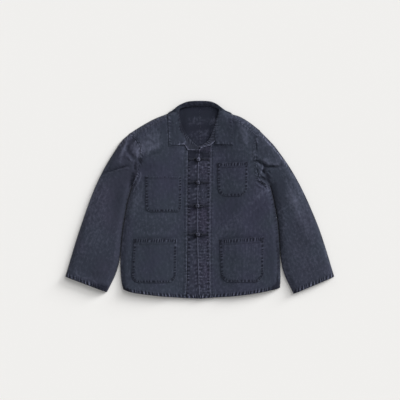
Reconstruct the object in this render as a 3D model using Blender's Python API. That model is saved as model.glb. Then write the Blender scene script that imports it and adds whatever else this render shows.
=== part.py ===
"""Denim work jacket with knot-and-loop closures, laid flat on its back and fastened.

Left and right are the wearer's. X points to the wearer's left, Y from the hem to the collar, and
Z away from the surface that the jacket lies on. The origin is the middle of its box, on that surface.
Sizes and tables are in millimetres, and the finished meshes are in metres.
"""

from collections import namedtuple

import bmesh
import bpy
import numpy as np

METRES = 0.001

# Cloth
PLY = 1.2                  # one thickness of denim
BAND_PLY = 2.0             # front band, two thicknesses
STAND_PLY = 1.8
COLLAR_PLY = 1.8
HEM_PLY = 2.4              # turned-up edge of a hem or cuff
HEM_DEPTH = 13.0
HEM_STEP = 2.0             # over which the turned-up edge thins to one cloth
SEAM_GAP = 0.3
LAID_GAP = 0.45            # between a patch and the panel it is sewn on
STRAP_GAP = 0.7            # between a strap and the curved band under it

# How the upper layer lies on the lower one
CROWN = 2.0                # height of the soft air gap between the layers
CROWN_REACH = 60.0         # how far in from a folded edge the gap opens fully
CROWN_AT_HEM = 0.5         # share of that gap left at a hem or cuff
GAP_LIMIT = 3.4            # the creases add to the gap no further than this
HEM_FADE = 30.0            # how far the thick hem lifts the layer over it
COLLAR_REST = 0.1          # clearance under the turned-under fall
COLLAR_SLACK = 0.1         # and between it and the back
COLLAR_LIFT = COLLAR_REST + COLLAR_PLY + SEAM_GAP + COLLAR_SLACK
LIFT_LINE = 298.0          # above this height the collar fall lies under the back
LIFT_HALF_WIDTH = 122.0
LIFT_FADE = 50.0

# Front closure
UNDERLAP = 9.0             # how far the right band reaches under the left one
LAP_FLAT = 13.0
LAP_FADE = 26.0
KNOT_WIDTH = 13.0
KNOT_HEIGHT = 9.0
STRAP_WIDTH = 12.0
STRAP_HEIGHT = 3.6
STRAP_TAPER = (0.55, 1.0, 1.0, 1.0, 0.6)   # width along the strap, from the knot
STRAP_ROUNDING = (0.7, 1.0, 0.7)           # height across it

# How finely each stretch of edge is cut
SIDE_STEPS = 10
BACK_SIDE_STEPS = 5
ARMHOLE_STEPS = 10
UNDERARM_STEPS = 3         # the part of the armhole that ends the sleeve's inner edge
SHOULDER_STEPS = 9
NECKLINE_STEPS = 7
BAND_STEPS = SIDE_STEPS + ARMHOLE_STEPS - NECKLINE_STEPS
BACK_NECK_STEPS = 3
SLEEVE_STEPS = 15
UNDER_SLEEVE_STEPS = 6
POCKET_STEPS = 4
HEM_MARKS = (0.0, HEM_DEPTH, HEM_DEPTH + HEM_STEP)
SHARPEST_CORNER = 0.4      # an inset corner point moves at most 1 / this times the distance

# Each row gives one station on the wearer's right side and its partner on the left side.
Pair = namedtuple("Pair", "right_x right_y left_x left_y")

SIDE_SEAM = (              # hem corner up to the underarm
    Pair(-286, -334, 298, -328),
    Pair(-294, -295, 300, -288),
    Pair(-297, -232, 299, -224),
    Pair(-293, -161, 296, -157),
    Pair(-283, -83, 290, -83),
    Pair(-268, -1, 276, -5),
    Pair(-252, 53, 263, 49),
)
ARMHOLE = (                # underarm up to the shoulder seam
    Pair(-252, 53, 263, 49),
    Pair(-237, 84, 232, 62),
    Pair(-228, 122, 214, 94),
    Pair(-221, 159, 211, 135),
    Pair(-224, 192, 205, 176),
    Pair(-237, 218, 209, 215),
    Pair(-254, 234, 215, 238),
)
SHOULDER_SEAM = (          # armhole to neck, on the front
    Pair(-254, 234, 215, 238),
    Pair(-205, 263, 175, 270),
    Pair(-160, 287, 143, 290),
    Pair(-121, 307, 117, 302),
    Pair(-92, 322, 88, 321),
)
SHOULDER_EDGE = (          # armhole to neck, where the back folds over
    Pair(-264, 244, 224, 255),
    Pair(-218, 273, 186, 285),
    Pair(-169, 300, 150, 307),
    Pair(-124, 317, 122, 316),
    Pair(-95, 328, 93, 328),
)
NECKLINE = (               # front band seam up to the shoulder
    Pair(-46, 186, 39, 202),
    Pair(-69, 224, 66, 228),
    Pair(-83, 257, 80, 257),
    Pair(-91, 293, 87, 293),
    Pair(-92, 322, 88, 321),
)
BACK_NECK = (              # shoulder to the centre back
    Pair(-95, 328, 93, 328),
    Pair(-80, 331, 79, 331),
    Pair(-66, 338, 65, 338),
    Pair(0, 344, 0, 344),
)
BAND_SEAM = (              # hem up to the neckline
    Pair(-52, -366, 37, -365),
    Pair(-49, -280, 36, -280),
    Pair(-47, -150, 34, -150),
    Pair(-47, -20, 36, -20),
    Pair(-46, 186, 39, 202),
)
HEM = (                    # side corner to the band seam
    Pair(-286, -334, 298, -328),
    Pair(-242, -347, 267, -336),
    Pair(-147, -359, 207, -348),
    Pair(-112, -362, 134, -358),
    Pair(-52, -366, 37, -365),
)
SLEEVE_OUTER = (           # cuff up to the shoulder
    Pair(-500, -281, 500, -285),
    Pair(-470, -180, 468, -180),
    Pair(-442, -90, 437, -90),
    Pair(-403, 21, 389, 21),
    Pair(-362, 110, 341, 110),
    Pair(-314, 189, 286, 189),
    Pair(-289, 222, 257, 222),
    Pair(-264, 244, 224, 255),
)
SLEEVE_INNER = (           # cuff up to the underarm
    Pair(-345, -340, 348, -349),
    Pair(-316, -280, 309, -280),
    Pair(-299, -224, 301, -224),
    Pair(-294.3, -161, 297.3, -157),
    Pair(-284.3, -83, 291.3, -83),
    Pair(-269.3, -1, 277.3, -5),
    Pair(-252.3, 53, 263.3, 49),
)

Point = namedtuple("Point", "x y")

CENTRE_FRONT = (           # the left band's free edge, hem up to the neckline
    Point(-3, -368),
    Point(-5, -280),
    Point(-9, -150),
    Point(-9, -20),
    Point(-6, 129),
    Point(-4, 180),
)
RIGHT_BAND_TOP = (Point(-46, 186), Point(-26, 184), Point(-4, 183.5))
LEFT_BAND_TOP = (Point(39, 202), Point(26, 199), Point(13, 196), Point(5, 191), Point(-4, 180))

# The collar stand is a flattened ring: its seam edge and its neck edge, from the band to the
# centre back. front says how far the ring lies at the height of the fronts.
Ring = namedtuple("Ring", "seam_x seam_y neck_x neck_y front")

RIGHT_STAND_NECK = (Point(-4.5, 196), Point(-35, 224), Point(-51, 247), Point(-66, 274),
                    Point(-75, 304), Point(-77, 320))
LEFT_STAND_NECK = (Point(-1.5, 196), Point(31, 222), Point(49, 254), Point(62, 280),
                   Point(66, 304), Point(69, 320))
RIGHT_STAND_BACK = (
    Ring(-89, 338, -77, 330, 1.0),
    Ring(-81, 347, -74, 340, 0.7),
    Ring(-66, 353, -62, 345, 0.0),
    Ring(-36, 360, -34, 346.5, 0.0),
    Ring(0, 362, 0, 347, 0.0),
)
LEFT_STAND_BACK = (
    Ring(84, 338, 70, 330, 1.0),
    Ring(73, 345.5, 68, 340, 0.7),
    Ring(61, 353, 58, 345, 0.0),
    Ring(34, 360, 32, 346.5, 0.0),
)
STAND_ROLL = 2.5           # how far the stand's free edge rises
STAND_START = Point(2.5, 3.0)   # its first left point, moved off the overlapping band's corner
BACK_HEM_RISE = 1.5        # how far the back's hem shows below the bands

# The collar fall, drawn unfolded: its roll edge and its outer edge. What reaches past the
# fold line turns under the garment.
Fall = namedtuple("Fall", "roll_x roll_y outer_x outer_y")

RIGHT_FALL = (
    Fall(-48, 206, -116, 199),
    Fall(-59, 237, -118, 237),
    Fall(-69, 267, -118, 267),
    Fall(-77, 296, -119, 296),
    Fall(-79.5, 318, -120, 322),
    Fall(-79, 333, -116, 350),
    Fall(-74, 344, -104, 372),
    Fall(-60, 352, -80, 391),
    Fall(-35, 358, -42, 402),
    Fall(0, 359.5, 0, 404),
)
LEFT_FALL = (
    Fall(58, 207, 124, 202),
    Fall(57, 237, 124, 240),
    Fall(60, 267, 123, 271),
    Fall(67, 296, 120, 298),
    Fall(71, 318, 118, 323),
    Fall(72, 333, 112, 352),
    Fall(67, 344, 98, 373),
    Fall(54, 352, 74, 391),
    Fall(32, 358, 40, 402),
    Fall(0, 359.5, 0, 404),
)
FOLD_LINE = (Point(-200, 272), Point(-125, 320), Point(-72, 355), Point(-42, 366), Point(0, 368.3),
             Point(38, 366), Point(66, 354.5), Point(122, 320), Point(200, 272))
FOLD_HALF_WIDTH = 2.0      # sideways radius of the turned edge
COLLAR_EDGE_BAND = 6.0     # the outer strip that holds the turn's sections
COLLAR_ROLL = 1.0          # how far the roll edge stands up
COLLAR_AIR = 1.4           # how far the fall stands clear of the stand's middle
CROSSING_TRIES = 400       # how finely a section is searched for the fold line

# Where the fall is cut, in rows of its table: finely where it turns round the shoulder.
FallCut = namedtuple("FallCut", "start end steps")
FALL_CUTS = (FallCut(0.0, 3.4, 4), FallCut(3.4, 6.0, 13), FallCut(6.0, 9.0, 5))

# The largest folds in the upper layer: a straight ridge (or trough, below zero) each.
Crease = namedtuple("Crease", "start_x start_y end_x end_y half_width height")

CREASES = (
    Crease(-232, 225, -272, 190, 16, 1.4),
    Crease(-272, 190, -250, 146, 15, 1.3),
    Crease(-350, 104, -245, 120, 13, -1.2),
    Crease(-330, 134, -262, 140, 18, 1.2),
    Crease(217, 150, 262, 128, 16, 1.5),
    Crease(262, 128, 300, 140, 16, 1.2),
    Crease(232, 122, 290, 106, 12, -1.4),
    Crease(-200, 160, -120, 215, 26, 0.8),
    Crease(110, 0, 250, 60, 26, 0.7),
    Crease(330, 40, 395, -60, 28, 1.1),
    Crease(-380, 20, -420, -110, 30, 0.9),
)

# Patch pockets: corners of the top edge, then the bottom edge and the corner radius.
Pocket = namedtuple("Pocket", "name top_right_x top_right_y top_left_x top_left_y "
                              "bottom_right_x bottom_left_x bottom_y corner")

POCKETS = (
    Pocket("pocket_chest_right", -204, 88, -67, 88, -202, -69, -46, 20),
    Pocket("pocket_chest_left", 63, 137, 178, 140, 65, 177, 12, 34),
    Pocket("pocket_hip_right", -246, -144, -86, -144, -254, -88, -309, 30),
    Pocket("pocket_hip_left", 71, -148, 238, -137, 77, 236, -307, 34),
)

# Frog closures: one row each, from the top.
Frog = namedtuple("Frog", "knot_x knot_y right_end right_tip left_tip left_end")

FROGS = (
    Frog(-6, 150, -42, -17, 3, 32),
    Frog(-7, 64, -42, -18, 2, 31),
    Frog(-9, -23, -43, -20, 1, 30),
    Frog(-8, -129, -43, -19, 1, 30),
)

DENIM = (0.040, 0.044, 0.064)
WORN_DENIM = (0.047, 0.050, 0.071)
BAND_DENIM = (0.038, 0.040, 0.060)
INSIDE_DENIM = (0.026, 0.031, 0.048)
FROG_CLOTH = (0.030, 0.031, 0.046)
CLOTH_ROUGHNESS = 0.85


def clear_scene():
    for thing in list(bpy.data.objects):
        bpy.data.objects.remove(thing, do_unlink=True)


def cloth_material(name, colour):
    material = bpy.data.materials.new(name)
    material.use_nodes = True
    shader = material.node_tree.nodes["Principled BSDF"]
    shader.inputs["Base Color"].default_value = (*colour, 1.0)
    shader.inputs["Roughness"].default_value = CLOTH_ROUGHNESS
    shader.inputs["Metallic"].default_value = 0.0
    return material


# Curves and patches in plan, as arrays of x and y in millimetres

def right_side(rows):
    return np.array([(row.right_x, row.right_y) for row in rows], float)


def left_side(rows):
    return np.array([(row.left_x, row.left_y) for row in rows], float)


def plain(rows):
    return np.array([(row.x, row.y) for row in rows], float)


def smooth_curve(points, per_span=12):
    """A smooth curve through the points, finely cut."""
    ends = np.vstack([2 * points[0] - points[1], points, 2 * points[-1] - points[-2]])
    steps = np.linspace(0.0, 1.0, per_span, endpoint=False)[:, None]
    spans = []
    for before, start, end, after in zip(ends, ends[1:], ends[2:], ends[3:]):
        bend = 2 * before - 5 * start + 4 * end - after
        twist = 3 * (start - end) + after - before
        spans.append(0.5 * (2 * start + (end - before) * steps + bend * steps ** 2 + twist * steps ** 3))
    return np.vstack(spans + [points[-1:]])


def run_lengths(curve):
    steps = np.linalg.norm(np.diff(curve, axis=0), axis=1)
    return np.concatenate([[0.0], np.cumsum(steps)])


def cut_at(curve, lengths):
    run = run_lengths(curve)
    return np.column_stack([np.interp(lengths, run, curve[:, axis]) for axis in (0, 1)])


def stretch(points, steps, marks=(0.0,)):
    """Points along the curve: one at each mark from its start, then equal steps to its end."""
    curve = smooth_curve(points)
    rest = np.linspace(marks[-1], run_lengths(curve)[-1], steps + 1)[1:]
    return cut_at(curve, np.concatenate([marks, rest]))


def joined(*stretches):
    """Stretches that share their end points, as one line of points."""
    return np.vstack([stretches[0]] + [part[1:] for part in stretches[1:]])


def fractions(*lines):
    shares = [run_lengths(line) / run_lengths(line)[-1] for line in lines]
    return np.mean(shares, axis=0)


def patch(bottom, top, start, end):
    """Plan grid [row, column] that fills four edges; bottom and top run from start to end."""
    across = fractions(bottom, top)[None, :, None]
    upward = fractions(start, end)[:, None, None]
    by_rows = (1 - upward) * bottom[None] + upward * top[None]
    by_columns = (1 - across) * start[:, None] + across * end[:, None]
    corners = ((1 - upward) * ((1 - across) * bottom[0] + across * bottom[-1])
               + upward * ((1 - across) * top[0] + across * top[-1]))
    return by_rows + by_columns - corners


def border_of(rows, columns):
    """Grid places round the border, in order."""
    places = [(0, column) for column in range(columns)]
    places += [(row, columns - 1) for row in range(1, rows)]
    places += [(rows - 1, column) for column in range(columns - 2, -1, -1)]
    places += [(row, 0) for row in range(rows - 2, 0, -1)]
    return places


def inset(plan, distance):
    """Move the border of a plan grid inwards."""
    places = border_of(*plan.shape[:2])
    loop = np.array([plan[place] for place in places])
    before = loop - np.roll(loop, 1, axis=0)
    after = np.roll(loop, -1, axis=0) - loop
    before /= np.linalg.norm(before, axis=1)[:, None]
    after /= np.linalg.norm(after, axis=1)[:, None]
    area = np.sum(loop[:, 0] * np.roll(loop[:, 1], -1) - loop[:, 1] * np.roll(loop[:, 0], -1))
    turn = np.sign(area)
    inward_before = turn * np.column_stack([-before[:, 1], before[:, 0]])
    inward_after = turn * np.column_stack([-after[:, 1], after[:, 0]])
    middle = inward_before + inward_after
    middle /= np.linalg.norm(middle, axis=1)[:, None]
    lengthened = 1.0 / np.clip(np.sum(middle * inward_after, axis=1), SHARPEST_CORNER, 1.0)
    moved = loop + middle * (distance * lengthened)[:, None]
    result = plan.copy()
    for place, point in zip(places, moved):
        result[place] = point
    return result


# Heights

def smoothstep(value):
    clipped = np.clip(value, 0.0, 1.0)
    return clipped * clipped * (3 - 2 * clipped)


def distance_to(line, places):
    """Distance from each place to a line of points."""
    best = np.full(places.shape[:-1], np.inf)
    for start, end in zip(line, line[1:]):
        along = end - start
        share = np.clip(((places - start) @ along) / (along @ along), 0.0, 1.0)
        gap = np.linalg.norm(places - start - share[..., None] * along, axis=-1)
        best = np.minimum(best, gap)
    return best


def folded_edges():
    """The lines where the upper layer comes down to the lower one."""
    lines = []
    for side in (right_side, left_side):
        for rows in (SIDE_SEAM, SHOULDER_EDGE, SLEEVE_OUTER, SLEEVE_INNER):
            lines.append(smooth_curve(side(rows), 4))
    return lines


def thick_edges():
    """The hem and the two cuffs."""
    lines = []
    for side in (right_side, left_side):
        lines.append(smooth_curve(side(HEM), 4))
        lines.append(np.array([side(SLEEVE_OUTER)[0], side(SLEEVE_INNER)[0]]))
    lines.append(np.array([right_side(HEM)[-1], CENTRE_FRONT[0], left_side(HEM)[-1]]))
    return lines


FOLDED_EDGES = folded_edges()
THICK_EDGES = thick_edges()


def nearest(lines, places):
    return np.min([distance_to(line, places) for line in lines], axis=0)


def back_height(places):
    """Underside of the back: on the surface, and over the collar fall near the neck."""
    over_line = smoothstep((places[..., 1] - LIFT_LINE + LIFT_FADE) / LIFT_FADE)
    inside = 1 - smoothstep((np.abs(places[..., 0]) - LIFT_HALF_WIDTH) / LIFT_FADE)
    return COLLAR_LIFT * over_line * inside


def crease_height(places):
    total = np.zeros(places.shape[:-1])
    for crease in CREASES:
        line = np.array([(crease.start_x, crease.start_y), (crease.end_x, crease.end_y)], float)
        total += crease.height * np.exp(-(distance_to(line, places) / crease.half_width) ** 2)
    return total


def upper_height(places):
    """Underside of the upper layer: fronts, bands and top sleeves."""
    depth = np.clip(nearest(FOLDED_EDGES, places) / CROWN_REACH, 0.0, 1.0)
    crown = CROWN * (1 - (1 - depth) ** 2)
    over_hem = 1 - smoothstep((nearest(THICK_EDGES, places) - HEM_MARKS[-1]) / HEM_FADE)
    crown = crown * (1 - (1 - CROWN_AT_HEM) * over_hem)
    air = np.clip(crown + crease_height(places) * depth, 0.0, GAP_LIMIT)
    return back_height(places) + PLY + (HEM_PLY - PLY) * over_hem + SEAM_GAP + air


def lap_height(places):
    """How far the left band is lifted by the right band under it."""
    reach = distance_to(smooth_curve(plain(CENTRE_FRONT)), places)
    return (BAND_PLY + SEAM_GAP) * (1 - smoothstep((reach - LAP_FLAT) / LAP_FADE))


def left_band_height(places):
    return upper_height(places) + lap_height(places)


# Solids

def add_object(name, bm, colour):
    mesh = bpy.data.meshes.new(name)
    bm.to_mesh(mesh)
    bm.free()
    thing = bpy.data.objects.new(name, mesh)
    bpy.context.collection.objects.link(thing)
    mesh.materials.append(cloth_material(name, colour))
    return thing


def sheet_mesh(points):
    """Triangles over a grid of 3-D points in millimetres."""
    bm = bmesh.new()
    grid = [[bm.verts.new(point * METRES) for point in row] for row in points]
    for lower, upper in zip(grid, grid[1:]):
        for a, b, c, d in zip(lower, lower[1:], upper[1:], upper):
            bm.faces.new((a, b, c))
            bm.faces.new((a, c, d))
    return bm


def cloth_solid(name, plan, underside, thickness, colour):
    """A wall of cloth over a plan grid, from its underside up by its thickness."""
    bm = sheet_mesh(np.dstack([plan, underside]))
    heights = np.broadcast_to(thickness, underside.shape).ravel() * METRES
    lift = {tuple(vert.co): height for vert, height in zip(bm.verts, heights)}
    raised = bmesh.ops.extrude_face_region(bm, geom=bm.faces[:], use_keep_orig=True)
    for item in raised["geom"]:
        if isinstance(item, bmesh.types.BMVert):
            item.co.z += lift[tuple(item.co)]
    bmesh.ops.recalc_face_normals(bm, faces=bm.faces[:])
    add_object(name, bm, colour)


def hem_thickness(shape):
    """Thick rows at the hem end of a grid, single cloth above."""
    thickness = np.full(shape, PLY)
    thickness[:2] = HEM_PLY
    return thickness


# The panels

def back_panel(name, side):
    """Half of the back, with the strip that folds over the shoulder to the front."""
    middle = np.array([(0.0, side(HEM)[-1][1] - BACK_HEM_RISE), (0.0, side(BACK_NECK)[-1][1])])
    edge = joined(stretch(side(SHOULDER_EDGE), SHOULDER_STEPS),
                  stretch(side(BACK_NECK), BACK_NECK_STEPS))
    seam = stretch(side(SHOULDER_SEAM), SHOULDER_STEPS)
    strip = np.linalg.norm(edge[:len(seam)] - seam, axis=1).mean()
    neck = edge[len(seam):] - np.array([0.0, strip])
    seam = np.vstack([seam, neck])
    toward_edge = edge - seam
    toward_edge /= np.linalg.norm(toward_edge, axis=1)[:, None]
    wall = seam + toward_edge * SEAM_GAP / 2
    start = joined(stretch(side(SIDE_SEAM), BACK_SIDE_STEPS, HEM_MARKS),
                   stretch(side(ARMHOLE), ARMHOLE_STEPS))
    rows = len(start)
    start[-1] = wall[0]
    end = stretch(np.array([middle[0], wall[-1]]), rows - len(HEM_MARKS), HEM_MARKS)
    hem = smooth_curve(side(HEM))
    hem = np.vstack([hem, middle[:1]])
    bottom = cut_at(hem, fractions(wall) * run_lengths(hem)[-1])
    body = patch(bottom, wall, start, end)
    border = np.array([wall + toward_edge * SEAM_GAP, (wall + edge) / 2, edge])
    plan = inset(np.concatenate([body, border]), SEAM_GAP / 2)
    underside = back_height(plan)
    thickness = hem_thickness(underside.shape)
    folded = np.arange(plan.shape[1]) < SHOULDER_STEPS
    doubled = (upper_height(plan) + PLY - underside)[rows:]
    thickness[rows:] = np.where(folded[None, :], doubled, PLY)
    cloth_solid(name, plan, underside, thickness, INSIDE_DENIM)


def front_plan(side):
    start = joined(stretch(side(SIDE_SEAM), SIDE_STEPS, HEM_MARKS), stretch(side(ARMHOLE), ARMHOLE_STEPS))
    end = joined(stretch(side(BAND_SEAM), BAND_STEPS, HEM_MARKS), stretch(side(NECKLINE), NECKLINE_STEPS))
    bottom = stretch(side(HEM), SHOULDER_STEPS)
    top = stretch(side(SHOULDER_SEAM), SHOULDER_STEPS)
    return inset(patch(bottom, top, start, end), SEAM_GAP / 2)


def front_panel(name, side, colour):
    plan = front_plan(side)
    underside = upper_height(plan)
    cloth_solid(name, plan, underside, hem_thickness(underside.shape), colour)


def sleeve_plan(side, steps):
    armhole = stretch(side(ARMHOLE), ARMHOLE_STEPS)
    inner = np.vstack([stretch(side(SLEEVE_INNER), steps, HEM_MARKS)[:-1], armhole[:UNDERARM_STEPS + 1]])
    outer = stretch(side(SLEEVE_OUTER), steps + UNDERARM_STEPS, HEM_MARKS)
    top = np.vstack([outer[-1:], armhole[:UNDERARM_STEPS - 1:-1]])
    cuff = np.array([outer[0], inner[0]])
    cuff = cut_at(cuff, fractions(top) * run_lengths(cuff)[-1])
    return inset(patch(cuff, top, outer, inner), SEAM_GAP / 2)


def sleeve(side_name, side):
    """A two-piece sleeve: the top piece lies on the under piece."""
    under = sleeve_plan(side, UNDER_SLEEVE_STEPS)
    flat = np.zeros(under.shape[:2])
    cloth_solid("sleeve_under_" + side_name, under, flat, hem_thickness(flat.shape), DENIM)
    top = sleeve_plan(side, SLEEVE_STEPS)
    underside = upper_height(top)
    cloth_solid("sleeve_top_" + side_name, top, underside, hem_thickness(underside.shape), WORN_DENIM)


def right_band_top():
    """Seam, middle, centre front and the hidden edge of the underlap."""
    visible = stretch(plain(RIGHT_BAND_TOP), 2)
    return np.vstack([visible, visible[-1] + np.array([UNDERLAP, 0.0])])


def left_band_top():
    return stretch(plain(LEFT_BAND_TOP), 3)


def band(name, side, top, underlap, height):
    start = stretch(side(BAND_SEAM), BAND_STEPS, HEM_MARKS)
    end = stretch(plain(CENTRE_FRONT), BAND_STEPS, HEM_MARKS) + np.array([underlap, 0.0])
    bottom = np.array([start[0], end[0]])
    bottom = cut_at(bottom, fractions(top) * run_lengths(bottom)[-1])
    end[-1] = top[-1]
    plan = inset(patch(bottom, top, start, end), SEAM_GAP / 2)
    cloth_solid(name, plan, height(plan), BAND_PLY, BAND_DENIM)


def collar_stand():
    """The ring between the neckline and the collar's roll."""
    right_seam = joined(right_band_top()[2::-1], stretch(right_side(NECKLINE), NECKLINE_STEPS))
    left_seam = joined(left_band_top()[::-1], stretch(left_side(NECKLINE), NECKLINE_STEPS))
    right_neck = stretch(plain(RIGHT_STAND_NECK), len(right_seam) - 1)
    left_neck = stretch(plain(LEFT_STAND_NECK), len(left_seam) - 1)
    left_seam[0] += STAND_START
    back = RIGHT_STAND_BACK + LEFT_STAND_BACK[::-1]
    back_seam = np.array([(row.seam_x, row.seam_y) for row in back])
    back_neck = np.array([(row.neck_x, row.neck_y) for row in back])
    seam = np.vstack([right_seam, back_seam, left_seam[::-1]])
    neck = np.vstack([right_neck, back_neck, left_neck[::-1]])
    at_neckline = np.ones(len(right_seam)), [row.front for row in back], np.ones(len(left_seam))
    front = np.concatenate(at_neckline)
    plan = inset(np.array([seam, (seam + neck) / 2, neck]), SEAM_GAP / 2)
    lap = np.where(plan[..., 0] > CENTRE_FRONT[-1].x + SEAM_GAP, lap_height(plan), 0.0)
    across = np.array([0.0, 0.5, 1.0])[:, None]
    at_front = upper_height(plan) + lap * front + STAND_ROLL * across
    at_back = back_height(plan) + STAND_ROLL * (1 - across)
    underside = front * at_front + (1 - front) * at_back
    cloth_solid("collar_stand", plan, underside, STAND_PLY, INSIDE_DENIM)


def fold_frame(places, line):
    """Signed distance past the fold line, the nearest point on it and the outward direction."""
    best = np.full(len(places), np.inf)
    feet = np.zeros_like(places)
    outward = np.zeros_like(places)
    for start, end in zip(line, line[1:]):
        along = end - start
        share = np.clip(((places - start) @ along) / (along @ along), 0.0, 1.0)
        foot = start + share[:, None] * along
        gap = np.linalg.norm(places - foot, axis=1)
        closer = gap < best
        best = np.where(closer, gap, best)
        feet[closer] = foot[closer]
        upward = np.array([-along[1], along[0]]) / np.linalg.norm(along)
        outward[closer] = upward
    away = places - feet
    past = np.where(np.sum(away * outward, axis=1) >= 0, best, -best)
    reach = np.maximum(best, 1e-9)[:, None]
    outward = np.where(best[:, None] > 1e-6, away / reach * np.sign(past)[:, None], outward)
    return past, feet, outward


def fall_stations(rows):
    """The roll and outer ends of the sections of one half of the fall."""
    table = np.array(rows, float)
    spans = [np.linspace(cut.start, cut.end, cut.steps, endpoint=False) for cut in FALL_CUTS]
    places = np.concatenate(spans + [[FALL_CUTS[-1].end]])
    roll = smooth_curve(table[:, :2])
    outer = smooth_curve(table[:, 2:])
    index = places / (len(rows) - 1) * (len(roll) - 1)
    grid = np.arange(len(roll))
    roll = np.column_stack([np.interp(index, grid, roll[:, axis]) for axis in (0, 1)])
    outer = np.column_stack([np.interp(index, grid, outer[:, axis]) for axis in (0, 1)])
    return roll, outer


def turned_section(roll, outer, line, turn_length):
    """Places across one station, close together where the cloth turns under."""
    width = np.linalg.norm(outer - roll)
    tries = np.linspace(0.0, 1.0, CROSSING_TRIES)
    past, _, _ = fold_frame(roll + tries[:, None] * (outer - roll), line)
    crossing = tries[np.argmax(past > 0)] * width if np.any(past > 0) else width
    flat = min(crossing, width - COLLAR_EDGE_BAND)
    turned = min(turn_length, width - flat)
    turn = flat + turned * np.array([0.25, 0.5, 0.75, 1.0])
    after = np.linspace(turn[-1], width, 3)[1:]
    if turned < turn_length:
        turn = flat + turned * np.array([1, 2, 3, 4]) / 6
        after = flat + turned * np.array([5, 6]) / 6
    across = np.concatenate([[0.0, flat / 2, flat], turn, after]) / width
    return roll + across[:, None] * (outer - roll), across


def collar_fall():
    """Two leaves on the front, joined behind the neck by the part that is turned under."""
    line = smooth_curve(plain(FOLD_LINE), 6)
    normal = np.column_stack([-np.gradient(line[:, 1]), np.gradient(line[:, 0])])
    normal /= np.linalg.norm(normal, axis=1)[:, None]
    line = line - normal * (FOLD_HALF_WIDTH + COLLAR_PLY / 2)
    right_roll, right_outer = fall_stations(RIGHT_FALL)
    left_roll, left_outer = fall_stations(LEFT_FALL)
    rolls = np.vstack([right_roll, left_roll[-2::-1]])
    outers = np.vstack([right_outer, left_outer[-2::-1]])
    sections = []
    for roll, outer in zip(rolls, outers):
        top_height = fall_height(roll[None])[0]
        half_height = (top_height - COLLAR_REST - COLLAR_PLY / 2) / 2
        turn_length = np.pi * np.sqrt((FOLD_HALF_WIDTH ** 2 + half_height ** 2) / 2)
        flat, across = turned_section(roll, outer, line, turn_length)
        sections.append(fold_under(flat, across, line, turn_length))
    bm = sheet_mesh(np.array(sections))
    thing = add_object("collar_fall", bm, DENIM)
    wall = thing.modifiers.new("Wall", "SOLIDIFY")
    wall.thickness = COLLAR_PLY * METRES
    wall.offset = 0.0
    wall.use_even_offset = True


def fall_height(places):
    """Middle of the fall's cloth where it lies on top."""
    return upper_height(places) + PLY + STAND_PLY / 2 + LAID_GAP + COLLAR_PLY / 2 + COLLAR_AIR


def fold_under(flat, across, line, turn_length):
    """Lay one section on the garment, and turn what is past the line round its edge."""
    past, feet, outward = fold_frame(flat, line)
    top = fall_height(flat) + COLLAR_ROLL * (1 - across) ** 2
    low = COLLAR_REST + COLLAR_PLY / 2
    angle = np.clip(past / turn_length, 0.0, 1.0) * np.pi
    beyond = np.maximum(past - turn_length, 0.0)
    edge_top = fall_height(feet)
    middle = (edge_top + low) / 2
    turned = feet + outward * (FOLD_HALF_WIDTH * np.sin(angle) - beyond)[:, None]
    turned_height = middle + (edge_top - low) / 2 * np.cos(angle)
    plan = np.where((past > 0)[:, None], turned, flat)
    height = np.where(past > 0, turned_height, top)
    return np.column_stack([plan, height])


def pocket(row):
    """A patch pocket: the front's own surface under it, moved out."""
    top = np.array([(row.top_right_x, row.top_right_y), (row.top_left_x, row.top_left_y)], float)
    bend = row.corner * (1 - np.sqrt(0.5))
    right_mid = np.array([row.bottom_right_x + bend, row.bottom_y + bend])
    left_mid = np.array([row.bottom_left_x - bend, row.bottom_y + bend])
    right = np.array([right_mid, (row.bottom_right_x, row.bottom_y + row.corner), top[0]])
    left = np.array([left_mid, (row.bottom_left_x, row.bottom_y + row.corner), top[1]])
    bottom = np.array([right_mid, (row.bottom_right_x + row.corner, row.bottom_y),
                       (row.bottom_left_x - row.corner, row.bottom_y), left_mid])
    rounding = row.corner * np.pi / 4
    sides = []
    for edge in (right, left):
        rest = np.linspace(rounding, run_lengths(edge)[-1], POCKET_STEPS)
        sides.append(cut_at(edge, np.concatenate([[0.0], rest])))
    width = run_lengths(bottom)[-1]
    middle = np.linspace(rounding, width - rounding, POCKET_STEPS - 1)
    lengths = np.concatenate([[0.0], middle, [width]])
    lower = cut_at(bottom, lengths)
    upper = cut_at(top, lengths / width * run_lengths(top)[-1])
    plan = patch(lower, upper, sides[0], sides[1])
    underside = upper_height(plan) + PLY + LAID_GAP
    cloth_solid(row.name, plan, underside, PLY, DENIM)


def strap_solid(name, tip, end, across, band_height):
    """A frog strap: a rounded bar of doubled cord from near the knot to its sewn end."""
    run = np.linspace(tip, end, len(STRAP_TAPER))
    reach = STRAP_WIDTH / 2 * np.linspace(-1.0, 1.0, len(STRAP_ROUNDING))
    widths = np.outer(STRAP_TAPER, reach)
    plan = np.dstack([np.repeat(run[:, None], widths.shape[1], axis=1), across + widths])
    thickness = STRAP_HEIGHT * np.array(STRAP_ROUNDING)
    cloth_solid(name, plan, band_height(plan) + BAND_PLY + STRAP_GAP, thickness, FROG_CLOTH)


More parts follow.
